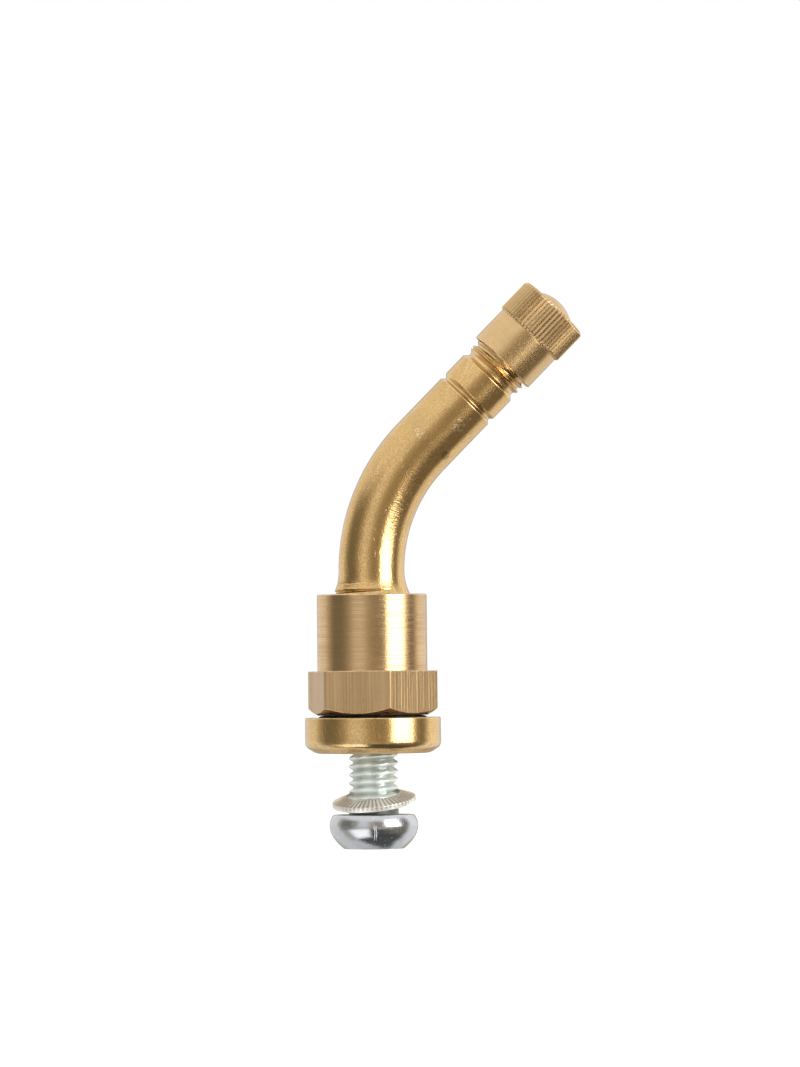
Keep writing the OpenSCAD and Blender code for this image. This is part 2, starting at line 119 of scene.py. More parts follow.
class StemSizes(PropertyGroup):
    """Sizes of the stem and its foot"""

    foot_rim: length("Foot rim", "Width of the rounding round the foot's lower edge", 1.35)
    foot_round: length("Foot rounding", "Height of the rounding round the foot's lower edge", 0.85)
    ring_groove: length("Ring groove", "Diameter of the groove that takes the rubber ring", 13.8)
    ring_groove_depth: length("Groove depth", "Depth of the rubber ring's groove", 1.58)
    tapped: length("Tapped hole", "Diameter of the tapped hole in the foot", 6.1)
    tapped_depth: length("Tapped depth", "Depth of the tapped hole", 11)
    tapped_cut: length("Tapped thread", "Depth of the tapped hole's thread", 0.5)
    shank: length("Shank", "Diameter over the shank's thread", 10)
    shank_pitch: length("Shank pitch", "Pitch of the shank's thread", 1)
    shank_cut: length("Shank thread", "Depth of the shank's thread", 0.58)
    flare: length("Flare", "Radius of the flare from the stem to the shank", 6)
    stem: length("Stem", "Diameter of the bent stem", 7.9)
    groove: length("Tip groove", "Diameter in the groove below the collar", 7.15)
    groove_at: length("Groove place", "Distance of the groove from the bend", 7.55)
    groove_width: length("Groove width", "Width of the groove below the collar", 0.9)
    collar: length("Collar", "Length of the collar", 3.5)
    undercut: length("Undercut", "Diameter of the undercut behind the mouth thread", 6.9)
    undercut_width: length("Undercut width", "Width of the undercut's floor", 0.35)
    mouth: length("Mouth", "Diameter over the mouth's thread", 7.7)
    mouth_pitch: length("Mouth pitch", "Pitch of the mouth's thread", 0.79375)
    mouth_cut: length("Mouth thread", "Depth of the mouth's thread", 0.44)
    chamfer: length("Chamfer", "Width of the chamfers at both ends", 0.4)
    passage: length("Passage", "Diameter of the air passage", 3)


class NutSizes(PropertyGroup):
    """Sizes of the clamp nut"""

    flats: length("Across flats", "Size of the hexagon across its flats", 14)
    hexagon: length("Hexagon height", "Height of the hexagon", 5.3)
    turn: angle("Hexagon turn", "Direction of one of the hexagon's corners", -15)
    slope: angle("Hexagon slope", "Slope of the turned face below the hexagon", 30)
    blunt: length("Blunt corner", "How much the hexagon's corners are blunted", 0.03)
    body: length("Body", "Diameter of the round body", 13.2)
    mouth: length("Countersink", "Diameter of the countersink at each end", 11)
    bore: length("Bore", "Diameter of the bore", 10.1)


class CapSizes(PropertyGroup):
    """Sizes of the dust cap"""

    skirt: length("Skirt", "Diameter of the plain skirt", 8.74)
    skirt_height: length("Skirt height", "Height of the plain skirt", 4.6)
    knurl: length("Knurl", "Diameter over the knurl", 9.3)
    knurl_height: length("Knurl height", "Height of the knurled band", 4.2)
    knurl_depth: length("Knurl depth", "Depth between two ridges", 0.16)
    ridges: number("Ridges", "Ridges round the knurl", 56)
    neck: length("Neck", "Depth of the fine groove below the knurl", 0.06)
    edge: length("Edge", "Width and height of the slope above the knurl", 0.3)
    bore: length("Bore", "Diameter of the cap's inside", 7.8)
    room: length("Room", "Room between the stem's mouth and the cap's top", 1.06)
    wall: length("Top wall", "Thickness of the cap's top", 1.4)
    dome: length("Dome", "Diameter of the domed top", 5.6)
    dome_height: length("Dome height", "Height of the domed top", 0.9)


class ScrewSizes(PropertyGroup):
    """Sizes of the fixing screw and its washer"""

    thread: length("Thread", "Diameter over the thread", 6)
    pitch: length("Pitch", "Pitch of the thread", 1)
    cut: length("Thread depth", "Depth of the thread", 0.55)
    start: length("Thread start", "Height at which the thread's ridge faces right", 0.6)
    neck: length("Neck", "Length of the plain neck below the head", 0.9)
    chamfer: length("Chamfer", "Width of the chamfer at the screw's tip", 0.4)
    head_height: length("Head height", "Height of the head", 4.1)
    face: length("Bearing face", "Diameter of the head under the washer", 9.8)
    waist: length("Widest part", "Distance of the head's widest part from the bearing face", 1.3)
    end: length("Head end", "Diameter of the head's flat end", 7.2)
    lobe_mean: length("Drive", "Mean diameter of the six-lobe recess", 4.78)
    lobe_wave: length("Lobe", "How far a lobe stands from the recess's mean radius", 0.41)
    drive_depth: length("Drive depth", "Depth of the six-lobe recess", 2.4)
    hole: length("Air hole", "Diameter of the hole along the screw", 2)
    washer: length("Washer", "Outer diameter of the washer", 10.1)
    washer_hole: length("Washer hole", "Diameter of the washer's hole", 6.34)
    washer_thickness: length("Washer thickness", "Thickness of the washer", 0.7)
    washer_lift: length("Washer lift", "Height of the loose washer's rim above the head", 1.2)
    washer_slope: angle("Washer slope", "Slope of the washer's cone", 20)
    washer_lean: angle("Washer lean", "Lean of the loose washer to the left", 5)
    washer_tilt: angle("Washer tilt", "Lean of the loose washer to the front", 10)
    serrations: number("Serrations", "Serrations round the washer", 56)
    serration_depth: length("Serration depth", "Depth of the washer's serrations", 0.12)


class CoreSizes(PropertyGroup):
    """Sizes of the valve core's spring"""

    coil: length("Coil", "Diameter of the spring at the middle of its wire", 1.8)
    wire: length("Wire", "Diameter of the spring's wire", 0.32)
    turns: number("Turns", "Turns of the spring", 8)


class Finishes(PropertyGroup):
    """Colours of the metals and rubbers"""

    stem_brass: tint("Stem brass", "Bright brass of the stem and foot", (0.76, 0.502, 0.215))
    nut_brass: tint("Nut brass", "Turned brass of the clamp nut", (0.73, 0.482, 0.24))
    cap_brass: tint("Cap brass", "Satin brass of the dust cap", (0.75, 0.51, 0.25))
    core_brass: tint("Core brass", "Brass of the valve core", (0.75, 0.52, 0.22))
    zinc: tint("Zinc plate", "Bright zinc of the screw", (0.59, 0.605, 0.625))
    washer_zinc: tint("Washer plate", "Warm zinc of the washer", (0.78, 0.735, 0.65))
    steel: tint("Spring steel", "Drawn wire of the core's spring", (0.55, 0.56, 0.58))
    rubber: tint("Black rubber", "Rubber of the ring, the disc and the seat", (0.022, 0.017, 0.013))
    seal: tint("Red seal", "Seal round the valve core", (0.38, 0.045, 0.035))


PROPERTY_GROUPS = {
    "stem": StemSizes,
    "nut": NutSizes,
    "cap": CapSizes,
    "screw": ScrewSizes,
    "core": CoreSizes,
    "finishes": Finishes,
}


def settings(group):
    """The scene's values of one property group."""
    return getattr(bpy.context.scene, f"valve_{group}")


# A corner of a half section: r and z in metres; rounding, step and fade in millimetres. The line to
# the next corner is cut into steps. Its band is the mark that a shaping tree reads there, which
# comes in over the fade at both ends.
Corner = namedtuple("Corner", "r z rounding step band fade marks", defaults=(0, 0, None, 0, {}))
Ring = namedtuple("Ring", "r z marks")
# Mark of a place where brass mirrors brass, deep in and in an open groove
NOOK, OPEN_NOOK = {"nook": 1.0}, {"nook": 0.4}


def corner_rings(before, corner, after):
    """Rings round one corner: a rounding that marks worn outer edges, held by a ring each side."""
    if corner.rounding <= 0:
        return [Ring(corner.r, corner.z, corner.marks)]
    here = Vector((corner.r, corner.z))
    back = Vector((before.r, before.z)) - here
    ahead = Vector((after.r, after.z)) - here
    half = back.angle(ahead) / 2
    rounding = corner.rounding * MM
    reach = rounding / math.tan(half)
    room = min(back.length * LINE_SHARE - reach, ahead.length * LINE_SHARE - reach)
    hold = min(rounding * HOLD_SHARE, room)
    back.normalize()
    ahead.normalize()
    centre = here + (back + ahead).normalized() * (rounding / math.sin(half))
    spoke = here + back * reach - centre
    outward = (-back).cross(ahead)
    sweep = math.copysign(math.pi - 2 * half, outward)
    marks = {**corner.marks, "worn": 1.0 if outward > 0 else 0.0}
    arc = [centre + Matrix.Rotation(sweep * step / ARCS, 2) @ spoke for step in range(ARCS + 1)]
    rings = [Ring(*spot, marks) for spot in arc]
    if hold > LEAST_HOLD:
        first, last = (Ring(*(here + way * (reach + hold)), corner.marks) for way in (back, ahead))
        rings = [first, *rings, last]
    return rings


def line_rings(corner, low, high):
    """Rings that cut the line after a corner into its steps."""
    span = math.hypot(high.r - low.r, high.z - low.z)
    cuts = max(1, round(span / (corner.step * MM)))
    rings = []
    for share in (cut / cuts for cut in range(1, cuts)):
        marks = {
            key: low.marks.get(key, 0) * (1 - share) + high.marks.get(key, 0) * share
            for key in {*low.marks, *high.marks} - {"worn"}
        }
        if corner.band:
            near_end = min(share, 1 - share) * span
            marks[corner.band] = min(1.0, near_end / (corner.fade * MM)) if corner.fade else 1.0
        r, z = low.r + (high.r - low.r) * share, low.z + (high.z - low.z) * share
        rings.append(Ring(r, z, marks))
    return rings


def section(corners, closed=True):
    """Rings of a half section, walked with the metal on the left."""
    count = len(corners)
    turned = []
    for i, corner in enumerate(corners):
        if not closed and i in (0, count - 1):
            corner = corner._replace(rounding=0)
        turned.append(corner_rings(corners[i - 1], corner, corners[(i + 1) % count]))
    rings = []
    for i, corner in enumerate(corners):
        rings += turned[i]
        if corner.step:
            rings += line_rings(corner, turned[i][-1], turned[(i + 1) % count][0])
    return rings


def even_turns(count):
    """Angles that cut one turn into equal parts."""
    return [FULL_TURN * i / count for i in range(count)]


def lathe(name, rings, turns, closed=True):
    """Turns a half section round Z into a mesh of quads and keeps its marks as attributes."""
    points, marks, rows = [], [], []
    for ring in rings:
        start = len(points)
        if ring.r < 1e-9:
            rows.append([start] * len(turns))
            points.append((0, 0, ring.z))
        else:
            rows.append(list(range(start, start + len(turns))))
            points += [(ring.r * math.cos(turn), ring.r * math.sin(turn), ring.z) for turn in turns]
        marks += [ring.marks] * (len(points) - start)
    faces = []
    for low, high in zip(rows, rows[1:] + (rows[:1] if closed else [])):
        for i in range(len(turns)):
            k = (i + 1) % len(turns)
            face = tuple(dict.fromkeys((low[i], low[k], high[k], high[i])))
            if len(face) > 2:
                faces.append(face)
    mesh = bpy.data.meshes.new(name)
    mesh.from_pydata(points, [], faces)
    mesh.attributes.new("turned", "FLOAT_VECTOR", "POINT").data.foreach_set(
        "vector", [value for point in points for value in point]
    )
    for key in sorted({key for mark in marks for key in mark} | {"worn"}):
        mesh.attributes.new(key, "FLOAT", "POINT").data.foreach_set(
            "value", [mark.get(key, 0.0) for mark in marks]
        )
    piece = bpy.data.objects.new(name, mesh)
    bpy.context.scene.collection.objects.link(piece)
    return piece


class Value:
    """A node's output to reckon with: each operation adds a node to its tree"""

    def __init__(self, wiring, socket):
        self.wiring, self.socket = wiring, socket

    def __neg__(self):
        return self * -1.0

    def __abs__(self):
        return self.wiring.math("ABSOLUTE", self)

    def __lt__(self, other):
        return self.wiring.math("LESS_THAN", self, other)

    def __gt__(self, other):
        return self.wiring.math("GREATER_THAN", self, other)

    def parts(self):
        """The three values of a vector."""
        return self.wiring.all("ShaderNodeSeparateXYZ", {0: self}).values()

    def span(self, low, high, out_low=0.0, out_high=1.0, smooth=False):
        """The range from low to high mapped to another one, and kept in it."""
        inputs = {
            "Value": self, "From Min": low, "From Max": high, "To Min": out_low, "To Max": out_high,
        }
        curve = "SMOOTHSTEP" if smooth else "LINEAR"
        return self.wiring.get("ShaderNodeMapRange", inputs, interpolation_type=curve)


def give_sign(sign, operation):
    """Lets values be reckoned with one of Python's signs."""
    setattr(Value, f"__{sign}__", lambda a, b: a.wiring.math(operation, a, b))
    setattr(Value, f"__r{sign}__", lambda a, b: a.wiring.math(operation, b, a))


give_sign("add", "ADD")
give_sign("sub", "SUBTRACT")
give_sign("mul", "MULTIPLY")
give_sign("truediv", "DIVIDE")


class Wiring:
    """Adds nodes to a tree and joins them"""

    def __init__(self, tree):
        self.tree = tree

    def feed(self, socket, value):
        """Links a value or sets a plain one. A colour may leave out its alpha."""
        if isinstance(value, Value):
            self.tree.links.new(value.socket, socket)
        elif socket.type == "RGBA":
            socket.default_value = (*value[:3], 1.0)
        else:
            socket.default_value = value

    def add(self, kind, inputs=None, **options):
        node = self.tree.nodes.new(kind)
        for key, value in options.items():
            setattr(node, key, value)
        for key, value in (inputs or {}).items():
            self.feed(node.inputs[key], value)
        return node

    def get(self, kind, inputs=None, output=0, **options):
        """One value that a new node puts out."""
        return Value(self, self.add(kind, inputs, **options).outputs[output])

    def all(self, kind, inputs=None):
        """All values that a new node puts out, by name."""
        return {socket.name: Value(self, socket) for socket in self.add(kind, inputs).outputs}

    def math(self, operation, *values):
        return self.get("ShaderNodeMath", dict(enumerate(values)), operation=operation)

    def larger(self, first, *rest):
        for value in rest:
            first = self.math("MAXIMUM", first, value)
        return first

    def vector(self, x, y, z):
        return self.get("ShaderNodeCombineXYZ", {"X": x, "Y": y, "Z": z})

    def scaled(self, vector, by):
        return self.get("ShaderNodeVectorMath", {0: vector, 1: by}, operation="MULTIPLY")

    def noise(self, vector, scale, detail):
        inputs = {"Vector": vector, "Scale": scale, "Detail": detail}
        return self.get("ShaderNodeTexNoise", inputs, "Fac")

    def blend(self, share, first, second):
        return self.get("ShaderNodeMix", {0: share, 6: first, 7: second}, 2, data_type="RGBA")

    def object_place(self):
        return self.get("ShaderNodeTexCoord", output="Object")


SOCKETS = {
    float: "NodeSocketFloat",
    int: "NodeSocketInt",
    str: "NodeSocketString",
    tuple: "NodeSocketVector",
}


def new_tree(kind, inputs, outputs):
    """A node tree with named sockets."""
    tree = bpy.data.node_groups.new(kind, kind)
    for side, sockets in (("INPUT", inputs), ("OUTPUT", outputs)):
        for label, socket in sockets.items():
            tree.interface.new_socket(label, in_out=side, socket_type=socket)
    return tree


def shared(make):
    """The node tree that a function makes, made once and named after it."""
    tree = bpy.data.node_groups.get(make.__name__)
    if tree is None:
        tree = make()
        tree.name = make.__name__
    return tree


class Shaping(Wiring):
    """A Geometry Nodes tree with named inputs, and the geometry that passes through it"""

    def __init__(self, **inputs):
        ends = {"Geometry": "NodeSocketGeometry"}
        named = {label: SOCKETS[kind] for label, kind in inputs.items()}
        sockets = {**ends, **named, "Material": "NodeSocketMaterial"}
        super().__init__(new_tree("GeometryNodeTree", sockets, ends))
        given = self.all("NodeGroupInput")
        self.geometry, self.material = given["Geometry"], given["Material"]
        self.values = [given[label] for label in inputs]

    def then(self, kind, inputs=None, **options):
        """Puts the geometry through a node."""
        self.geometry = self.get(kind, {"Geometry": self.geometry, **(inputs or {})}, **options)

    def position(self):
        return self.get("GeometryNodeInputPosition").parts()

    def round_axis(self):
        """Radius and angle of each point about Z, and its height."""
        x, y, z = self.position()
        self.across, self.radius = (x, y), self.math("SQRT", x * x + y * y)
        return self.radius, self.math("ARCTAN2", y, x), z

    def mark(self, name):
        """Value of a mark that the lathe kept on each point."""
        return self.get("GeometryNodeInputNamedAttribute", {"Name": name}, data_type="FLOAT")

    def keep(self, name, value):
        """Stores a value on each point for the finish to read."""
        inputs = {"Name": name, "Value": value}
        self.then("GeometryNodeStoreNamedAttribute", inputs, data_type="FLOAT")

    def shift(self, outward, upward=0.0):
        """Moves each point away from the axis and along it."""
        share = outward / self.larger(self.radius, 1e-6)
        offset = self.vector(*(way * share for way in self.across), upward)
        self.then("GeometryNodeSetPosition", {"Offset": offset})

    def close(self):
        """Makes instances real, sets the finish and gives the tree."""
        self.then("GeometryNodeRealizeInstances")
        self.then("GeometryNodeSetMaterial", {"Material": self.material})
        self.add("NodeGroupOutput", {0: self.geometry})
        return self.tree


def ridge_wave(t, turns):
    """0 on a ridge and 1 in the valley between two ridges, once a turn of the wave."""
    return 1.0 - abs(t.math("FRACT", turns) * 2.0 - 1.0)


# Direction of the side on which a leaning thread runs out first
LEAN_SIDE = math.radians(40)


def thread_tree():
    """Right-hand thread of V section, cut into the marked band. It runs out where the band is
    thinner than the thread, sooner on one side by the share Lean."""
    t = Shaping(
        Band=str, Pitch=float, Major=float, Depth=float, Flat=float, Lean=float, Start=float
    )
    band, pitch, major, depth, flat, lean, start = t.values
    radius, angle, z = t.round_axis()
    wave = ridge_wave(t, (z - start) / pitch - angle / FULL_TURN)
    side = t.math("COSINE", angle - LEAN_SIDE)
    lack = abs(major - radius) * (side * lean + 1.0)
    cut = t.larger(wave.span(flat, 1.0 - flat) - lack / abs(depth), 0.0) * t.mark(band)
    # Keeps the cut's depth as the valley mark, by which the finishes paint shade into the thread's valleys
    t.keep("valley", t.larger(t.mark("valley"), cut))
    t.shift(-cut * depth)
    return t.close()


def ridge_tree():
    """Straight ridges round the marked band, cut inwards or down."""
    t = Shaping(Band=str, Ridges=int, Inward=float, Down=float)
    band, ridges, inward, down = t.values
    _, angle, _ = t.round_axis()
    cut = ridge_wave(t, angle / FULL_TURN * ridges) * t.mark(band)
    # Keeps the cut's depth as the valley mark, by which the finishes paint shade between the ridges
    t.keep("valley", cut)
    t.shift(-cut * inward, -cut * down)
    return t.close()


def hexagon_tree():
    """Six flats on the marked wall, and a turned slope that meets them in six arcs."""
    t = Shaping(Flat=float, Corner=float, Blunt=float, Turn=float, Slope=float)
    flat, corner, blunt, turn, slope = t.values
    _, angle, _ = t.round_axis()
    sixth = FULL_TURN / 6
    from_middle = t.math("FLOORED_MODULO", angle - turn, sixth) - sixth / 2
    wall = t.math("MINIMUM", flat / t.math("COSINE", from_middle), corner - blunt)
    inset = wall - corner
    t.shift(inset * t.mark("hexagon"), inset * slope * t.mark("slope"))
    return t.close()


def lobe_tree():
    """Round lobes on the marked wall of the drive recess."""
    t = Shaping(Band=str, Lobes=int, Wave=float)
    band, lobes, wave = t.values
    _, angle, _ = t.round_axis()
    t.shift(t.math("COSINE", angle * lobes) * wave * t.mark(band))
    return t.close()


def bend_tree():
    """Bends a straight tube about Y: straight, one arc, straight again."""
    t = Shaping(Start=float, Radius=float, Angle=float)
    start, radius, angle = t.values
    x, y, z = t.position()
    run, arm = z - start, radius - x
    turn = t.math("MINIMUM", t.larger(run / radius, 0.0), angle)
    straight = run - turn * radius
    sine, cosine = t.math("SINE", turn), t.math("COSINE", turn)
    across, up = radius - arm * cosine + straight * sine, start + arm * sine + straight * cosine
    t.then("GeometryNodeSetPosition", {"Position": t.vector(across, y, up)})
    return t.close()


def coil_tree():
    """Round wire wound into a spring along Z."""
    t = Shaping(Radius=float, Height=float, Turns=float, Wire=float)
    radius, height, turns, wire = t.values
    path = t.get("GeometryNodeCurveSpiral", {
        "Resolution": 32, "Rotations": turns, "Start Radius": radius, "End Radius": radius,
        "Height": height,
    })
    ring = t.get("GeometryNodeCurvePrimitiveCircle", {"Resolution": 12, "Radius": wire})
    inputs = {"Curve": path, "Profile Curve": ring, "Fill Caps": True}
    t.geometry = t.get("GeometryNodeCurveToMesh", inputs)
    return t.close()


def use_tree(piece, make, finish, **values):
    """Puts a shaping tree on a piece and sets its inputs by identifier."""
    tree = shared(make)
    inputs = [item for item in tree.interface.items_tree if item.in_out == "INPUT"]
    identifiers = {item.name: item.identifier for item in inputs}
    modifier = piece.modifiers.new(tree.name, "NODES")
    modifier.node_group = tree
    for label, value in {**values, "Material": finish.material}.items():
        modifier[identifiers[label]] = value


# Share of a thread's wave that is flat, on the ridge and in the valley
THREAD_FLAT = 0.12


def cut_thread(piece, finish, band, pitch, major, depth, lean=0.0, start=0.0):
    """Cuts a thread into one band of a piece. A tapped hole has a depth below zero."""
    use_tree(
        piece, thread_tree, finish, Band=band, Pitch=pitch, Major=major / 2, Depth=depth,
        Flat=THREAD_FLAT, Lean=lean, Start=start,
    )


def finish_piece(piece, finish, body, node, place=None, sharp=35):
    """Makes a piece plain mesh, sets it in its place and hands it to its body."""
    bpy.context.view_layer.update()
    depsgraph = bpy.context.evaluated_depsgraph_get()
    mesh = bpy.data.meshes.new_from_object(
        piece.evaluated_get(depsgraph), preserve_all_data_layers=True, depsgraph=depsgraph
    )
    if not mesh.polygons:
        raise RuntimeError(f"{piece.name} came out empty")
    piece.modifiers.clear()
    blank = piece.data
    piece.data = mesh
    bpy.data.meshes.remove(blank)
    mesh.name = piece.name
    if place is not None:
        mesh.transform(place)
    if not mesh.materials:
        mesh.materials.append(finish.material)
    mesh.shade_smooth()
    mesh.set_sharp_from_angle(angle=math.radians(sharp))
    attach(piece, body)
    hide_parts(node)


def paint_node(name, finish):
    """Gives its finish to a solid that is shown as it is."""
    mesh = frame["nodes"][name].data
    mesh.materials.clear()
    mesh.materials.append(finish.material)


class Pattern(Wiring):
    """A shader group that makes one mask from a place and named settings"""

    def __init__(self, **defaults):
        named = {label: SOCKETS[type(value)] for label, value in defaults.items()}
        sockets = {"Vector": SOCKETS[tuple], **named}
        super().__init__(new_tree("ShaderNodeTree", sockets, {"Mask": SOCKETS[float]}))
        for label, value in defaults.items():
            self.tree.interface.items_tree[label].default_value = value
        given = self.all("NodeGroupInput")
        self.place, self.values = given["Vector"], [given[label] for label in defaults]

    def close(self, mask):
        """Puts out the mask and gives the group."""
        self.add("NodeGroupOutput", {"Mask": mask})
        return self.tree


def streaks():
    """Long fine lines: tool marks round a turned face, or drawn lines along a bar."""
    p = Pattern(Lines=(100.0, 100.0, 9000.0), Detail=2.0, Contrast=0.3)
    lines, detail, contrast = p.values
    noise = p.noise(p.scaled(p.place, lines), 1.0, detail)
    return p.close(noise.span(0.5 - contrast, 0.5 + contrast))


def mottle():
    """Soft cloudy change over a surface."""
    p = Pattern(Scale=400.0, Detail=3.0, Low=0.3, High=0.7)
    scale, detail, low, high = p.values
    return p.close(p.noise(p.place, scale, detail).span(low, high))


def flecks():
    """Small round pits, scattered."""
    p = Pattern(Scale=2500.0, Cover=0.2, Size=0.25)
    scale, cover, size = p.values
    cells = p.all("ShaderNodeTexVoronoi", {"Vector": p.place, "Scale": scale})
    chance = p.get("ShaderNodeSeparateColor", {0: cells["Color"]})
    return p.close((chance < cover) * cells["Distance"].span(size, size * 0.4, smooth=True))


def scratches():
    """A few long hairlines."""
    p = Pattern(Turn=(0.3, 0.2, 0.5), Stretch=(5000.0, 5000.0, 90.0), Cover=0.72)
    turn, stretch, cover = p.values
    inputs = {"Vector": p.place, "Rotation": turn}
    turned = p.get("ShaderNodeVectorRotate", inputs, rotation_type="EULER_XYZ")
    noise = p.noise(p.scaled(turned, stretch), 1.0, 0.0)
    return p.close(noise.span(cover, cover + 0.05, smooth=True))


def edge_wear():
    """Rubbed outer edges, broken up so that they don't read as a drawn line."""
    p = Pattern(Worn=0.0)
    return p.close(p.values[0] * p.noise(p.place, 1500.0, 2.0).span(0.35, 0.6))


# Settings of mottle for a fine grain
SOFT_GRAIN = {"Detail": 2.0, "Low": 0.25, "High": 0.75}
CRISP_GRAIN = {"Detail": 1.0, "Low": 0.34, "High": 0.66}
# Greyer than the rest, because a colour that mirrors itself deepens
NOOK_BRASS = (0.78, 0.64, 0.42)


def shade(colour, by):
    """A colour made lighter or darker."""
    return tuple(min(1.0, value * by) for value in colour)


class Finish(Wiring):
    """A material with its wiring, its Principled shader and the place that its patterns follow"""

    def __init__(self, name, metallic=1.0, turned=True):
        self.name = name
        self.material = bpy.data.materials.new(name)
        self.material.use_nodes = True
        super().__init__(self.material.node_tree)
        self.shader = self.tree.nodes["Principled BSDF"]
        self.put("Metallic", metallic)
        self.place = self.mark("turned", "Vector") if turned else self.object_place()

    def put(self, label, value):
        """Feeds an input of the shader."""
        self.feed(self.shader.inputs[label], value)

    def mark(self, name, output="Fac"):
        """A mark that the piece keeps as an attribute."""
        return self.get("ShaderNodeAttribute", output=output, attribute_name=name)

    def pattern(self, make, **inputs):
        """Mask of a shared group at the piece's place."""
        return self.get("ShaderNodeGroup", {"Vector": self.place, **inputs}, node_tree=shared(make))

    def wear(self):
        return self.pattern(edge_wear, Worn=self.mark("worn"))

    def cloudy(self, tone, scale, low, high):
        """A colour that changes softly between two shades of a tone."""
        return self.blend(self.pattern(mottle, Scale=scale), shade(tone, low), shade(tone, high))

    def coat(self, colour, *layers):
        """Sets the colour under its layers, each with a mask, an amount and a colour of its own."""
        for mask, amount, over in layers:
            colour = self.blend(mask * amount, colour, over)
        self.put("Base Color", colour)

    def bump(self, height, depth):
        """Feeds a height, of so many metres at 1, to the shader's normal."""
        inputs = {"Strength": 1.0, "Distance": depth, "Height": height}
        self.put("Normal", self.get("ShaderNodeBump", inputs))

    def spot(self, x, z, width, height):
        """A soft patch on the front of a turned piece, 1 in its middle, sizes in millimetres."""
        across, depth, up = self.place.parts()
        across, up = (across - x * MM) / (width * MM), (up - z * MM) / (height * MM)
        return (across * across + up * up).span(1.0, 0.2, smooth=True) * (depth < 0.0)


def stem_finish():
    """Bright dipped brass, finely pitted, with hairlines and marks of use, and painted shade in the threads'
    valleys, in a knock and over creases at the bend.
    """
    f = Finish("bright_brass")
    tone = settings("finishes").stem_brass
    grain = f.pattern(mottle, Scale=5600.0, **CRISP_GRAIN)
    pits = f.pattern(flecks, Scale=2300.0, Cover=0.14, Size=0.26)
    lines = f.pattern(scratches, Stretch=(4200, 4200, 380), Cover=0.735)
    dents = f.pattern(mottle, Scale=1100.0, Detail=2.0)
    valley = f.mark("valley")
    nook = f.larger(f.mark("mouth_thread") * valley, f.mark("nook"))
    creases = f.pattern(streaks, Lines=(700, 700, 7000), Detail=2.0, Contrast=0.1)
    # Creases across the bend: bumps, and a dark colour that is partly painted shade, dimming the upper end of the
    # bend's highlight
    wrinkles_and_shade = creases * f.spot(1.7, 25.9, 1.2, 2.6)
    # A knock in the tube: a dent in the bump, and its dark colour is painted shade in the dent
    knock_and_shade = f.spot(2.92, 35.3, 0.6, 0.7)
    rubbed = f.larger(f.spot(1.6, 39.0, 1.1, 1.3), f.spot(-1.1, 35.0, 0.8, 0.7))
    scuff = rubbed * f.pattern(mottle, Scale=2400.0, Low=0.5, High=0.62)
    f.coat(
        f.cloudy(tone, 350.0, 0.94, 1.1),
        (grain, 0.5, shade(tone, 0.6)),
        (pits, 0.4, shade(tone, 0.5)),
        (lines, 0.5, (0.95, 0.76, 0.44)),
        # Painted shade: the threads' valleys darkened
        (valley, 0.45, shade(tone, 0.42)),
        (f.wear(), 0.3, (1.0, 0.82, 0.5)),
        (nook, 0.9, NOOK_BRASS),
        (wrinkles_and_shade, 0.45, shade(tone, 0.35)),
        (knock_and_shade, 0.6, shade(tone, 0.42)),
        (scuff, 0.7, (1.0, 0.86, 0.6)),
    )
    _, _, z = f.place.parts()
    above_foot = z.span(-0.2 * MM, 1.0 * MM)
    f.put("Roughness", (grain + pits).span(0.0, 1.6, 0.12, 0.27) + above_foot * 0.01)
    height = grain - pits * 0.8 + lines * 0.8 + dents * 0.9 - (wrinkles_and_shade + knock_and_shade) * 0.6 + scuff * 1.2
    f.bump(height * above_foot.span(0.0, 1.0, 0.4, 1.0), 5e-6)
    return f


def nut_finish():
    """Brass bar: drawn lines along the hexagon's flats, tool lines round the turned body."""
    f = Finish("turned_brass")
    tone = settings("finishes").nut_brass
    on_bar = f.mark("hexagon") > 0.5
    round_lines = f.pattern(streaks, Lines=(70, 70, 7000), Detail=3.0, Contrast=0.22)
    broad_lines = f.pattern(streaks, Lines=(40, 40, 1200), Detail=2.0, Contrast=0.25)
    drawn_lines = f.pattern(streaks, Lines=(3300, 3300, 40), Detail=3.0, Contrast=0.16)
    lines = f.blend(on_bar, round_lines, drawn_lines)
    grain = f.pattern(mottle, Scale=5200.0, **CRISP_GRAIN)
    pits = f.pattern(flecks, Scale=1500.0, Cover=0.14, Size=0.28)
    f.coat(
        f.cloudy(tone, 260.0, 0.9, 1.06),
        (1.0 - lines, on_bar.span(0.0, 1.0, 0.42, 0.5), shade(tone, 0.5)),
        (f.mark("nook"), 0.9, shade(NOOK_BRASS, 0.8)),
        (grain, 0.2, shade(tone, 0.6)),
        (broad_lines, 0.12, (0.95, 0.78, 0.5)),
        (pits, 0.4, shade(tone, 0.4)),
        (on_bar, 0.42, shade(tone, 0.6)),
        (f.wear(), 0.45, (1.0, 0.86, 0.6)),
    )
    f.put("Roughness", lines.span(0.0, 1.0, 0.3, 0.17) + on_bar * 0.12)
    f.bump(lines * on_bar.span(0.0, 1.0, 0.42, 1.0) + grain * 0.1, 2e-5)
    return f


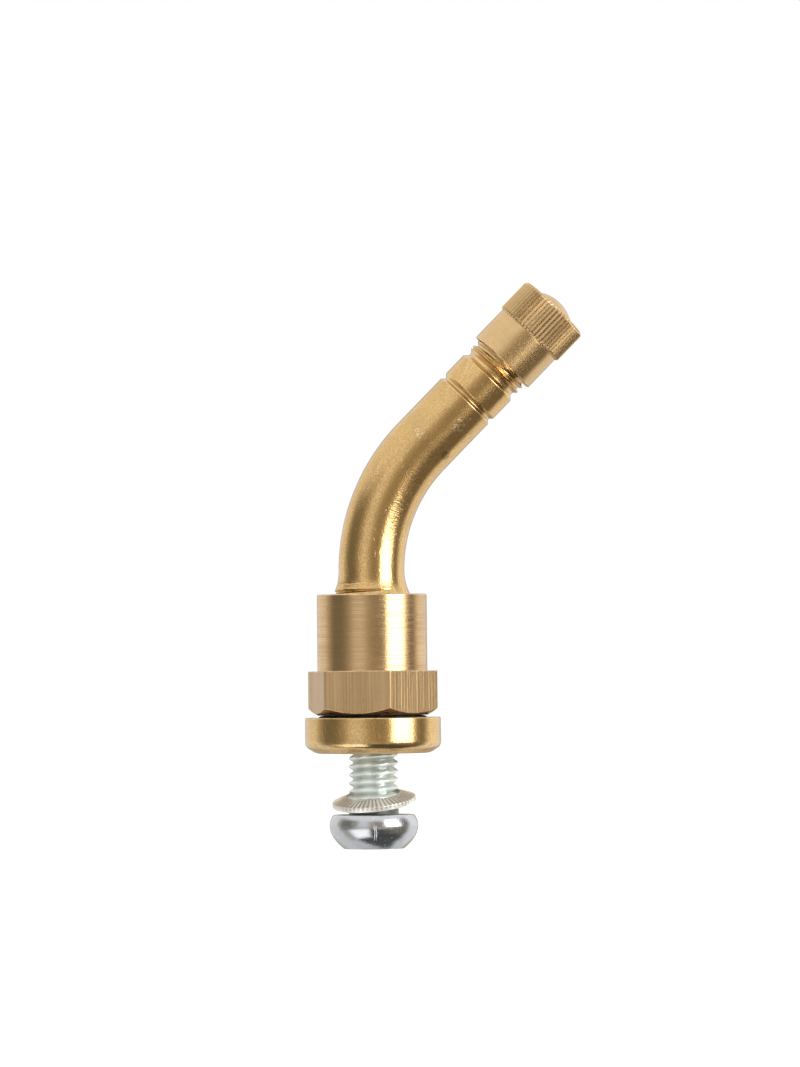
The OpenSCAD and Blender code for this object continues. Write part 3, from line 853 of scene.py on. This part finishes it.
def cap_finish():
    """Satin brass with tool lines round the skirt, and painted shade in the knurl valleys."""
    f = Finish("cap_brass")
    tone = settings("finishes").cap_brass
    lines = f.pattern(streaks, Lines=(60, 60, 6000), Detail=3.0, Contrast=0.25)
    grain = f.pattern(mottle, Scale=5200.0, **SOFT_GRAIN)
    pits = f.pattern(flecks, Scale=1700.0, Cover=0.16, Size=0.26)
    f.coat(
        f.cloudy(tone, 500.0, 0.88, 1.05),
        (1.0 - lines, 0.2, shade(tone, 0.6)),
        (pits, 0.4, shade(tone, 0.45)),
        # Painted shade: the knurl's valleys darkened
        (f.mark("valley"), 0.6, shade(tone, 0.4)),
        (f.wear(), 0.6, (1.0, 0.86, 0.58)),
    )
    plain = 1.0 - f.mark("knurl")
    f.put("Roughness", grain.span(0.0, 1.0, 0.28, 0.4) - plain * 0.08)
    f.bump(plain * (lines * 0.5 + grain), 4e-6)
    return f


def nicks(f):
    """Two fine upright nicks on the front of the screw's head."""
    x, y, z = f.place.parts()
    across = x + f.noise(f.place, 1400.0, 1.0) * (0.35 * MM)
    near = f.larger(*(abs(across - at * MM).span(0.055 * MM, 0.02 * MM) for at in (0.26, 0.5)))
    low, high, taper = SCREW_BOX[0].z + 1.0 * MM, SCREW_BOX[0].z + 3.1 * MM, 0.5 * MM
    return near * z.span(low, low + taper) * z.span(high, high - taper) * (y < 0.0)


def zinc_finish():
    """Zinc plate: a bright silver head with hairlines, and a satin thread, faintly green, with painted shade in
    its valleys and a painted shadow of the washer on the neck.
    """
    f = Finish("zinc_plate")
    thread = f.mark("screw_thread").span(0.0, 0.6)
    # The neck under the washer gets a painted shadow: a dark, dull, rougher colour
    neck = f.mark("neck").span(0.0, 0.3)
    grain = f.pattern(mottle, Scale=4200.0, **SOFT_GRAIN)
    lines = f.pattern(scratches, Turn=(1.2, 0.3, 0.4), Cover=0.74)
    tints = f.pattern(mottle, Scale=330.0, Detail=2.0)
    satin = f.blend(tints, (0.82, 0.89, 0.86), (0.92, 0.92, 0.83))
    # Painted shade: the thread's valleys darkened
    satin = f.blend(f.mark("valley") * 0.7, satin, (0.38, 0.43, 0.41))
    bright = f.larger(f.larger(lines, f.wear()) * 0.5, nicks(f))
    f.coat(
        settings("finishes").zinc,
        (thread, 1.0, satin),
        (neck, 1.0, (0.19, 0.22, 0.205)),
        (bright, 1.0, (0.85, 0.87, 0.88)),
    )
    f.put("Metallic", 1.0 - f.larger(thread * 0.2, neck * 0.85, bright * 0.5))
    f.put("Roughness", grain.span(0.0, 1.0, 0.13, 0.25) + f.larger(thread, neck) * 0.16)
    f.bump(grain, 3e-6)
    return f


def washer_finish():
    """Warm, dull zinc on spring steel, with painted shade between the teeth."""
    f = Finish("washer_plate", metallic=0.75)
    tone = settings("finishes").washer_zinc
    grain = f.pattern(mottle, Scale=4200.0, **SOFT_GRAIN)
    f.coat(
        f.cloudy(tone, 600.0, 0.85, 1.1),
        (grain, 0.35, (0.80, 0.79, 0.76)),
        # Painted shade: the valleys between the teeth darkened
        (f.mark("valley"), 0.85, shade(tone, 0.25)),
        (f.wear(), 0.6, (0.85, 0.83, 0.80)),
    )
    f.put("Roughness", grain.span(0.0, 1.0, 0.24, 0.42))
    f.bump(grain, 5e-6)
    return f


def core_finish(name, tone, low, high):
    """Turned metal of the small inner pieces, by their place in the object."""
    f = Finish(name, turned=False)
    grain = f.pattern(mottle, Scale=5000.0, **SOFT_GRAIN)
    f.coat(f.cloudy(tone, 900.0, 0.85, 1.05))
    f.put("Roughness", grain.span(0.0, 1.0, low, high))
    f.bump(grain, 3e-6)
    return f


def rubber_finish(name, tone):
    """Dull rubber with a fine grain and a little dust."""
    f = Finish(name, metallic=0.0, turned=False)
    grain = f.pattern(mottle, Scale=4500.0, Low=0.25, High=0.75)
    dust = f.pattern(mottle, Scale=700.0, Low=0.45, High=0.8)
    f.coat(tone, (dust, 0.35, (0.12, 0.115, 0.11)))
    f.put("Roughness", grain.span(0.0, 1.0, 0.42, 0.62))
    f.bump(grain, 6e-6)
    return f


# Radius, depth below the mouth and rounding of the bore's upper corners, in millimetres
BORE = (
    (3.0, 0, 0.05), (2.6, 0.4, 0), (2.6, 5.4, 0),
    (2.375, 6.03, 0), (1.95, 8.83, 0), (1.95, 18.42, 0),
)
BORE_DEPTH = 18.86 * MM
# The tip is this much slimmer than the bend, and its bore as much wider
TIP_STEP = 0.01 * MM
# Height at which the shank's thread begins, and how much sooner one side of it runs out
SHANK_START, SHANK_LEAN = 0.3 * MM, 0.46
FLARE_STEPS = 48


def stem_section(sizes):
    """Half section of the stem laid straight: foot, shank, tube, collar, mouth, then the bore."""
    foot_r, foot_z = -FOOT_BOX[0].x, FOOT_BOX[0].z
    ring_r, shank_r, stem_r = sizes.ring_groove / 2, sizes.shank / 2, sizes.stem / 2
    groove_r, undercut_r, mouth_r = sizes.groove / 2, sizes.undercut / 2, sizes.mouth / 2
    bore_r, tapped_r, tip_r = sizes.passage / 2, sizes.tapped / 2, stem_r - TIP_STEP
    groove = TIP_START + sizes.groove_at
    collar = groove + sizes.groove_width
    undercut = collar + sizes.collar
    thread = undercut + sizes.undercut_width
    end = TIP_START + MOUTH
    side = tip_r - groove_r
    tapped_end = foot_z + sizes.tapped_depth
    on_shank = {"shank_thread": 1.0}
    corners = [
        Corner(tapped_r + sizes.chamfer, foot_z),
        Corner(foot_r - sizes.foot_rim, foot_z, 1.2),
        Corner(foot_r, foot_z + sizes.foot_round, 0.85),
        Corner(foot_r, 0, 0.15),
        Corner(ring_r, 0, 0.08, marks=NOOK),
        Corner(ring_r, -sizes.ring_groove_depth, 0.1),
        Corner(shank_r, -sizes.ring_groove_depth, 0.1),
        Corner(shank_r, SHANK_START, step=0.07, band="shank_thread", marks=on_shank),
    ]
    turn = math.acos(1 - (shank_r - stem_r) / sizes.flare)
    for here in (turn * share / FLARE_STEPS for share in range(FLARE_STEPS, 0, -1)):
        out, down = sizes.flare * (1 - math.cos(here)), sizes.flare * math.sin(here)
        corners.append(Corner(stem_r + out, BEND_START - down, marks=on_shank))
    corners += [
        Corner(stem_r, BEND_START, step=0.4),
        Corner(tip_r, TIP_START, step=0.8),
        Corner(tip_r, groove, 0.12),
        Corner(groove_r, groove + side, 0.1, marks=OPEN_NOOK),
        Corner(groove_r, collar - side, 0.1, marks=OPEN_NOOK),
        Corner(tip_r, collar, 0.12),
        Corner(tip_r, undercut - (tip_r - undercut_r), 0.12),
        Corner(undercut_r, undercut, 0.06, marks=OPEN_NOOK),
        Corner(undercut_r, thread, 0.06, marks=OPEN_NOOK),
        Corner(mouth_r, thread + mouth_r - undercut_r, step=0.05, band="mouth_thread", fade=0.25),
        Corner(mouth_r, end - sizes.chamfer, 0.05),
        Corner(mouth_r - sizes.chamfer, end, 0.06),
        *(Corner(r * MM, end - depth * MM, rounding) for r, depth, rounding in BORE),
        Corner(bore_r + TIP_STEP, end - BORE_DEPTH),
        Corner(bore_r, TIP_START, step=0.6),
        Corner(bore_r, BEND_START),
        Corner(bore_r, tapped_end + tapped_r - bore_r),
        Corner(tapped_r, tapped_end, step=0.07, band="tapped", fade=0.6),
        Corner(tapped_r, foot_z + sizes.chamfer),
    ]
    return section(corners)


class VALVE_OT_stem(Operator):
    """Turn the stem and its foot, cut its threads and bend the tube"""

    bl_idname = "tyre_valve.stem"
    bl_label = "Stem and Foot"

    def execute(self, context):
        sizes = settings("stem")
        finish = stem_finish()
        piece = lathe("bent_stem", stem_section(sizes), even_turns(ROUND))
        for band, pitch, major, depth, lean in (
            ("shank_thread", sizes.shank_pitch, sizes.shank, sizes.shank_cut, SHANK_LEAN),
            ("mouth_thread", sizes.mouth_pitch, sizes.mouth, sizes.mouth_cut, 0.0),
            ("tapped", settings("screw").pitch, sizes.tapped, -sizes.tapped_cut, 0.0),
        ):
            cut_thread(piece, finish, band, pitch, major, depth, lean)
        use_tree(piece, bend_tree, finish, Start=BEND_START, Radius=BEND_RADIUS, Angle=BEND_ANGLE)
        finish_piece(piece, finish, "stem", "valve_stem")
        return {"FINISHED"}


# Degrees along one flat of the hexagon at which it has points, closer at its corners
FLAT_STEPS = (0, 0.8, 1.8, 5, 10, 15, 20, 25, 30, 35, 40, 45, 50, 55, 58.2, 59.2)


class VALVE_OT_nut(Operator):
    """Turn the clamp nut and mill its hexagon"""

    bl_idname = "tyre_valve.nut"
    bl_label = "Clamp Nut"

    def execute(self, context):
        sizes = settings("nut")
        finish = nut_finish()
        low, high = NUT_BOX[0].z, NUT_BOX[1].z
        corner = sizes.flats / 2 / math.cos(math.pi / 6)
        body, mouth, bore = sizes.body / 2, sizes.mouth / 2, sizes.bore / 2
        top = low + sizes.hexagon
        slope = math.tan(sizes.slope)
        wall, brim = {"hexagon": 1.0, "slope": 1.0}, {"hexagon": 1.0, "slope": 0.0}
        rings = section([
            Corner(mouth, low, 0.05, marks=NOOK),
            Corner(body, low, 0.06, marks=NOOK),
            Corner(corner, low + (corner - body) * slope, 0.08, step=0.4, marks=wall),
            Corner(corner, top, 0.09, step=0.3, marks=brim),
            Corner(body, top, 0.06, step=0.8),
            Corner(body, high, 0.16),
            Corner(mouth, high, 0.06),
            Corner(bore, high - mouth + bore, step=1.0),
            Corner(bore, low + mouth - bore),
        ])
        turns = [
            sizes.turn + math.radians(60 * side + step) for side in range(6) for step in FLAT_STEPS
        ]
        piece = lathe("clamp_nut_turned", rings, turns)
        use_tree(
            piece, hexagon_tree, finish, Flat=sizes.flats / 2, Corner=corner, Blunt=sizes.blunt,
            Turn=sizes.turn, Slope=slope,
        )
        finish_piece(piece, finish, "nut", "clamp_nut", sharp=28)
        return {"FINISHED"}


# Width and height of the lead-in at the cap's open end
LEAD_WIDTH, LEAD_HEIGHT = 0.05 * MM, 0.4 * MM


class VALVE_OT_cap(Operator):
    """Turn the dust cap and roll its knurl"""

    bl_idname = "tyre_valve.cap"
    bl_label = "Dust Cap"
    dome_steps = 10

    def execute(self, context):
        sizes = settings("cap")
        finish = cap_finish()
        skirt, ridge, bore = sizes.skirt / 2, sizes.knurl / 2, sizes.bore / 2
        ceiling = MOUTH + sizes.room
        top = ceiling + sizes.wall
        knurl = top - sizes.edge - sizes.knurl_height
        foot = knurl - sizes.skirt_height
        neck, ridged = sizes.neck, {"knurl": 1.0}
        corners = [
            Corner(0, ceiling),
            Corner(bore, ceiling),
            Corner(bore, foot + LEAD_HEIGHT),
            Corner(bore + LEAD_WIDTH, foot, 0.02),
            Corner(skirt, foot, 0.12, step=0.5),
            Corner(skirt, knurl - 2 * neck, 0.03),
            Corner(skirt - neck, knurl - neck, 0.02),
            Corner(skirt - neck, knurl, 0.02),
            Corner(skirt, knurl, 0.02),
            Corner(ridge, knurl + ridge - skirt, 0.04, step=0.4, marks=ridged),
            Corner(ridge, top - sizes.edge, 0.06, marks=ridged),
            Corner(ridge - sizes.edge, top, 0.1),
            Corner(sizes.dome / 2, top, 0.04),
        ]
        dome_r = ((sizes.dome / 2) ** 2 + sizes.dome_height ** 2) / 2 / sizes.dome_height
        dome_turn = math.asin(sizes.dome / 2 / dome_r)
        centre = top + sizes.dome_height - dome_r
        for share in range(self.dome_steps - 1, -1, -1):
            turn = dome_turn * share / self.dome_steps
            corners.append(Corner(dome_r * math.sin(turn), centre + dome_r * math.cos(turn)))
        turns = even_turns(sizes.ridges * PER_RIDGE)
        piece = lathe("dust_cap", section(corners, closed=False), turns, closed=False)
        use_tree(
            piece, ridge_tree, finish, Band="knurl", Ridges=sizes.ridges, Inward=sizes.knurl_depth
        )
        finish_piece(piece, finish, "cap", "valve_cap", TIP_PLACE, sharp=30)
        return {"FINISHED"}


class VALVE_OT_screw(Operator):
    """Turn the fixing screw, cut its thread and press its six-lobe drive"""

    bl_idname = "tyre_valve.screw"
    bl_label = "Fixing Screw"
    head_steps = 16

    def execute(self, context):
        sizes = settings("screw")
        finish = zinc_finish()
        low, high = SCREW_BOX[0].z, SCREW_BOX[1].z
        face, floor = low + sizes.head_height, low + sizes.drive_depth
        hole, lobe, thread = sizes.hole / 2, sizes.lobe_mean / 2, sizes.thread / 2
        widest, face_r, end_r = SCREW_BOX[1].x, sizes.face / 2, sizes.end / 2
        upper = (widest - face_r) / sizes.waist ** 2
        lower = (widest - end_r) / (sizes.head_height - sizes.waist) ** 2
        drive = {"lobe": 1.0}
        corners = [
            Corner(hole, high, 0.08),
            Corner(hole, floor, 0.05, step=0.5),
            Corner(lobe, floor, 0.05, step=0.6, marks=drive),
            Corner(lobe, low, 0.1, step=0.2, marks=drive),
            Corner(end_r, low, 0.25),
        ]
        for step in range(1, self.head_steps):
            drop = sizes.head_height * (1 - step / self.head_steps)
            bulge = upper if drop < sizes.waist else lower
            corners.append(Corner(widest - bulge * (drop - sizes.waist) ** 2, face - drop))
        corners += [
            Corner(face_r, face, 0.15),
            # The neck's mark is where the zinc finish paints the washer's shadow
            Corner(thread, face, 0.12, step=0.1, marks={"neck": 1.0}),
            Corner(thread, face + sizes.neck, step=0.07, band="screw_thread", fade=0.4),
            Corner(thread, high - sizes.chamfer, 0.06),
            Corner(thread - sizes.chamfer, high, 0.08),
        ]
        piece = lathe("hollow_screw", section(corners), even_turns(ROUND))
        cut_thread(
            piece, finish, "screw_thread", sizes.pitch, sizes.thread, sizes.cut, start=sizes.start
        )
        use_tree(piece, lobe_tree, finish, Band="lobe", Lobes=6, Wave=sizes.lobe_wave)
        finish_piece(piece, finish, "screw", "fixing_screw")
        return {"FINISHED"}


class VALVE_OT_washer(Operator):
    """Press the conical lock washer and its teeth"""

    bl_idname = "tyre_valve.washer"
    bl_label = "Lock Washer"

    def execute(self, context):
        sizes = settings("screw")
        finish = washer_finish()
        hole, rim, thick = sizes.washer_hole / 2, sizes.washer / 2, sizes.washer_thickness
        rise = (rim - hole) * math.tan(sizes.washer_slope)
        teeth = {"teeth": 1.0}
        rings = section([
            Corner(hole, rise, 0.08, step=0.4),
            Corner(rim, 0, 0.1),
            Corner(rim, thick, 0.1, step=0.25, marks=teeth),
            Corner(hole, rise + thick, 0.1, marks=teeth),
        ])
        middle = Vector((0, 0, rise + thick / 2))
        lean = Matrix.Rotation(-sizes.washer_lean, 4, "Y")
        tilt = Matrix.Rotation(sizes.washer_tilt, 4, "X")
        lift = Vector((0, 0, SCREW_BOX[0].z + sizes.head_height + sizes.washer_lift))
        place = Matrix.Translation(lift + middle) @ (lean @ tilt) @ Matrix.Translation(-middle)
        piece = lathe("cone_washer", rings, even_turns(sizes.serrations * PER_RIDGE))
        use_tree(
            piece, ridge_tree, finish, Band="teeth", Ridges=sizes.serrations,
            Down=sizes.serration_depth,
        )
        finish_piece(piece, finish, "washer", "lock_washer", place, sharp=30)
        return {"FINISHED"}


class VALVE_OT_seals(Operator):
    """Mould the rubber ring, and finish the cap's disc and the core's seals"""

    bl_idname = "tyre_valve.seals"
    bl_label = "Rubber Seals"
    ring_steps = 40

    def execute(self, context):
        rubber = rubber_finish("black_rubber", settings("finishes").rubber)
        red = rubber_finish("red_seal", settings("finishes").seal)
        half = (RING_BOX[1].z - RING_BOX[0].z) / 2
        middle, height = RING_BOX[1].x - half, (RING_BOX[1].z + RING_BOX[0].z) / 2
        rings = [
            Ring(middle + half * math.cos(turn), height + half * math.sin(turn), {})
            for turn in even_turns(self.ring_steps)
        ]
        piece = lathe("rim_ring", rings, even_turns(ROUND))
        finish_piece(piece, rubber, "seal_ring", "rim_seal")
        for node, finish in (("cap_seal", rubber), ("core_cup_seal", rubber), ("core_gasket", red)):
            paint_node(node, finish)
        return {"FINISHED"}


class VALVE_OT_core(Operator):
    """Wind the valve core's spring and finish the core's brass pieces"""

    bl_idname = "tyre_valve.core"
    bl_label = "Valve Core"

    def execute(self, context):
        sizes = settings("core")
        brass = core_finish("core_brass", settings("finishes").core_brass, 0.22, 0.36)
        steel = core_finish("spring_steel", settings("finishes").steel, 0.2, 0.3)
        for node in ("core_plug", "core_barrel", "core_pin", "core_cup"):
            paint_node(node, brass)
        points = frame["nodes"]["core_spring"].data.vertices
        ends = [(point.co - BEND_END).dot(TIP_AXIS) for point in points]
        low, high = min(ends), max(ends)
        piece = lathe("core_coil", [], [])
        use_tree(
            piece, coil_tree, steel, Radius=sizes.coil / 2, Height=high - low - sizes.wire,
            Turns=float(sizes.turns), Wire=sizes.wire / 2,
        )
        place = TIP_PLACE @ Matrix.Translation((0, 0, low + sizes.wire / 2))
        finish_piece(piece, steel, "stem", "core_spring", place)
        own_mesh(piece)
        return {"FINISHED"}


# Brightness of the studio by azimuth in degrees, from the camera to the right, at five heights
STUDIO_LEVEL = [
    (-180, 0.5), (-166, 0.5), (-154, 0.95), (-115, 0.95), (-102, 0.5), (-88, 0.23), (-64, 0.23),
    (-48, 0.46), (-36, 0.86), (-20, 0.88), (-6, 0.5), (8, 0.36), (24, 0.36), (31, 1.1), (36, 6.0),
    (65, 6.0), (73, 1.0), (82, 0.27), (96, 0.27), (114, 1.2), (150, 1.0), (164, 0.5), (180, 0.5),
]
STUDIO_LOW = [
    (-180, 0.5), (-166, 0.5), (-154, 0.85), (-110, 0.9), (-88, 0.28), (-62, 0.3), (-40, 0.66),
    (-18, 0.7), (-6, 0.46), (10, 0.48), (40, 0.48), (52, 0.28), (94, 0.24), (108, 1.0), (150, 0.95),
    (164, 0.5), (180, 0.5),
]
STUDIO_MID = [
    (-180, 0.5), (-160, 0.55), (-145, 0.8), (-110, 0.85), (-78, 0.4), (-58, 1.5), (-16, 1.5),
    (-8, 0.1), (34, 0.12), (54, 0.21), (94, 0.21), (110, 0.95), (145, 0.95), (160, 0.55), (180, 0.5),
]
STUDIO_FLOOR = [
    (-180, 0.5), (-145, 0.78), (-110, 0.8), (-78, 0.4), (-58, 1.6), (-16, 1.6), (-8, 0.09),
    (98, 0.09), (114, 0.8), (145, 0.78), (180, 0.5),
]
STUDIO_UNDER = [
    (-180, 0.6), (-85, 0.78), (-65, 0.1), (125, 0.1), (150, 0.7), (180, 0.6),
]
# The lower four, each with the degrees of height over which it gives way to the one above
STUDIO_BANDS = (
    (STUDIO_LOW, -12, -4),
    (STUDIO_MID, -27, -21),
    (STUDIO_FLOOR, -48, -40),
    (STUDIO_UNDER, -66, -57),
)
# Degrees of height over which the plain ceiling takes over
CEILING = (18, 36)
BRIGHTEST = 6.0
# Walls of the room between these levels are warm, most on the right of an azimuth
WARM_LEVELS, RIGHT_OF = (0.15, 0.6), -50
LEFT_TINT, RIGHT_TINT = (1.0, 0.95, 0.85), (1.0, 0.89, 0.73)
WHITE = (1.0, 1.0, 1.0)

TENT_RADIUS, TENT_ROWS, TENT_COLUMNS = 0.25, 24, 48
TENT_PLACE = (0, 0, 0.02)
FLOOR_DROP, FLOOR_REACH = 75 * MM, 6 * math.sqrt(2)
# Distances over which the floor's own glow grows, and the glow at both
FLOOR_GLOW = (0.15, 0.7, 0.1, 0.6)
# Name, place, size and power of each lamp
LAMPS = (
    ("key", (0.42, -0.34, 0.34), 0.35, 6.0),
    ("fill", (-0.5, -0.3, 0.3), 0.4, 2.5),
    ("top", (0.0, 0.1, 0.6), 0.5, 4.0),
)
LAMP_TARGET = (0.004, 0, 0.02)
CAMERA_PLACE, CAMERA_TARGET = Vector((0.00348, -0.6, 0.00445)), Vector((0.00348, 0, 0.02207))
CAMERA_ROLL, CAMERA_LENS, CAMERA_SENSOR = math.radians(-0.58), 168.4, 36


def level_ramp(w, turn, stops):
    """Brightness by azimuth, as a share of the brightest."""
    ramp = w.add("ShaderNodeValToRGB", {0: turn})
    elements = ramp.color_ramp.elements
    for index, (azimuth, level) in enumerate(stops):
        place = azimuth / 360 + 0.5
        if index < 2:
            element = elements[index]
            element.position = place
        else:
            element = elements.new(place)
        tone = WHITE
        if WARM_LEVELS[0] < level < WARM_LEVELS[1]:
            tone = RIGHT_TINT if azimuth > RIGHT_OF else LEFT_TINT
        element.color = (*(level / BRIGHTEST * part for part in tone), 1)
    return Value(w, ramp.outputs[0])


def tent_finish():
    """Light and dark of the studio round the object, by direction, for the metal to mirror."""
    material = bpy.data.materials.new("studio_tent")
    material.use_nodes = True
    w = Wiring(material.node_tree)
    nodes = w.tree.nodes
    nodes.remove(nodes["Principled BSDF"])
    way = w.get("ShaderNodeVectorMath", {0: w.object_place()}, operation="NORMALIZE")
    x, y, z = way.parts()
    turn = w.math("ARCTAN2", x, -y) / FULL_TURN + 0.5
    height = w.math("ARCSINE", z)

    def up_to(low, high):
        return height.span(math.radians(low), math.radians(high), smooth=True)

    level = level_ramp(w, turn, STUDIO_LEVEL)
    for stops, low, high in STUDIO_BANDS:
        level = w.blend(up_to(low, high), level_ramp(w, turn, stops), level)
    level = w.blend(up_to(*CEILING), level, [1 / BRIGHTEST] * 3)
    glow = w.get("ShaderNodeEmission", {"Color": level, "Strength": BRIGHTEST})
    w.feed(nodes["Material Output"].inputs["Surface"], glow)
    return material


def hide(thing, *rays):
    """Makes a thing unseen by some kinds of ray."""
    for kind in rays:
        setattr(thing, f"visible_{kind}", False)


class VALVE_OT_stage(Operator):
    """Set the pale floor, the soft studio light and the camera"""

    bl_idname = "tyre_valve.stage"
    bl_label = "Studio"

    def execute(self, context):
        scene = context.scene
        scene.view_settings.view_transform = "Standard"
        self.make_world(scene)
        self.make_floor()
        self.make_tent()
        self.make_lamps(scene)
        self.make_camera(scene)
        return {"FINISHED"}

    def make_world(self, scene):
        scene.world = bpy.data.worlds.new("studio")
        scene.world.use_nodes = True
        w = Wiring(scene.world.node_tree)
        nodes = w.tree.nodes
        fill = nodes["Background"]
        w.feed(fill.inputs["Color"], WHITE)
        w.feed(fill.inputs["Strength"], 0.55)
        white = w.get("ShaderNodeBackground", {"Color": WHITE, "Strength": 1.0})
        rays = w.all("ShaderNodeLightPath")
        seen = w.larger(*(rays[f"Is {kind} Ray"] for kind in ("Camera", "Glossy", "Transmission")))
        mixed = w.get("ShaderNodeMixShader", {0: seen, 1: Value(w, fill.outputs[0]), 2: white})
        w.feed(nodes["World Output"].inputs["Surface"], mixed)

    def make_floor(self):
        low = SCREW_BOX[0].z - FLOOR_DROP
        turns = [turn + FULL_TURN / 8 for turn in even_turns(4)]
        floor = lathe("floor", [Ring(FLOOR_REACH, low, {}), Ring(0, low, {})], turns, closed=False)
        f = Finish("pale_floor", metallic=0.0, turned=False)
        distance = f.get("ShaderNodeVectorMath", {0: f.place}, "Value", operation="LENGTH")
        f.put("Base Color", (0.95, 0.95, 0.95))
        f.put("Roughness", 0.9)
        f.put("Emission Color", distance.span(*FLOOR_GLOW))
        f.put("Emission Strength", 1.0)
        floor.data.materials.append(f.material)
        hide(floor, "glossy")

    def make_tent(self):
        rows = [math.pi * (row / TENT_ROWS - 0.5) for row in range(TENT_ROWS + 1)]
        rings = [Ring(TENT_RADIUS * math.cos(row), TENT_RADIUS * math.sin(row), {}) for row in rows]
        tent = lathe("studio_tent", rings, even_turns(TENT_COLUMNS), closed=False)
        tent.location = TENT_PLACE
        tent.data.materials.append(tent_finish())
        hide(tent, "camera", "diffuse", "shadow", "transmission")

    def make_lamps(self, scene):
        for name, place, size, power in LAMPS:
            lamp = bpy.data.lights.new(name, "AREA")
            lamp.size = size
            lamp.energy = power
            thing = bpy.data.objects.new(name, lamp)
            thing.location = place
            aim = Vector(LAMP_TARGET) - Vector(place)
            thing.rotation_euler = aim.to_track_quat("-Z", "Y").to_euler()
            hide(thing, "camera", "glossy")
            scene.collection.objects.link(thing)

    def make_camera(self, scene):
        camera = bpy.data.cameras.new("camera")
        camera.lens = CAMERA_LENS
        camera.sensor_width = CAMERA_SENSOR
        camera.clip_start = 0.01
        look = (CAMERA_TARGET - CAMERA_PLACE).to_track_quat("-Z", "Y").to_matrix().to_4x4()
        roll = Matrix.Rotation(CAMERA_ROLL, 4, "Z")
        thing = bpy.data.objects.new("camera", camera)
        thing.matrix_world = Matrix.Translation(CAMERA_PLACE) @ look @ roll
        scene.collection.objects.link(thing)
        scene.camera = thing


OPERATORS = (
    VALVE_OT_stem, VALVE_OT_nut, VALVE_OT_cap, VALVE_OT_screw, VALVE_OT_washer, VALVE_OT_seals,
    VALVE_OT_core, VALVE_OT_stage,
)


class VALVE_PT_sidebar(Panel):
    """Buttons for each piece, with its sizes and finishes"""

    bl_idname = "VALVE_PT_sidebar"
    bl_label = "Bent Tyre Valve"
    bl_space_type = "VIEW_3D"
    bl_region_type = "UI"
    bl_category = "Tyre Valve"

    def draw(self, context):
        for operator in OPERATORS:
            self.layout.operator(operator.bl_idname)
        for name, group in PROPERTY_GROUPS.items():
            box = self.layout.box()
            for key in group.__annotations__:
                box.prop(settings(name), key)


def register():
    for name, group in PROPERTY_GROUPS.items():
        bpy.utils.register_class(group)
        setattr(bpy.types.Scene, f"valve_{name}", PointerProperty(type=group))
    for kind in (*OPERATORS, VALVE_PT_sidebar):
        bpy.utils.register_class(kind)


def unregister():
    for kind in reversed((*OPERATORS, VALVE_PT_sidebar)):
        bpy.utils.unregister_class(kind)
    for name, group in reversed(PROPERTY_GROUPS.items()):
        delattr(bpy.types.Scene, f"valve_{name}")
        bpy.utils.unregister_class(group)


def main():
    register()
    bpy.ops.tyre_valve.stem()
    bpy.ops.tyre_valve.nut()
    bpy.ops.tyre_valve.cap()
    bpy.ops.tyre_valve.screw()
    bpy.ops.tyre_valve.washer()
    bpy.ops.tyre_valve.seals()
    bpy.ops.tyre_valve.core()
    bpy.ops.tyre_valve.stage()


if __name__ == "__main__":
    main()
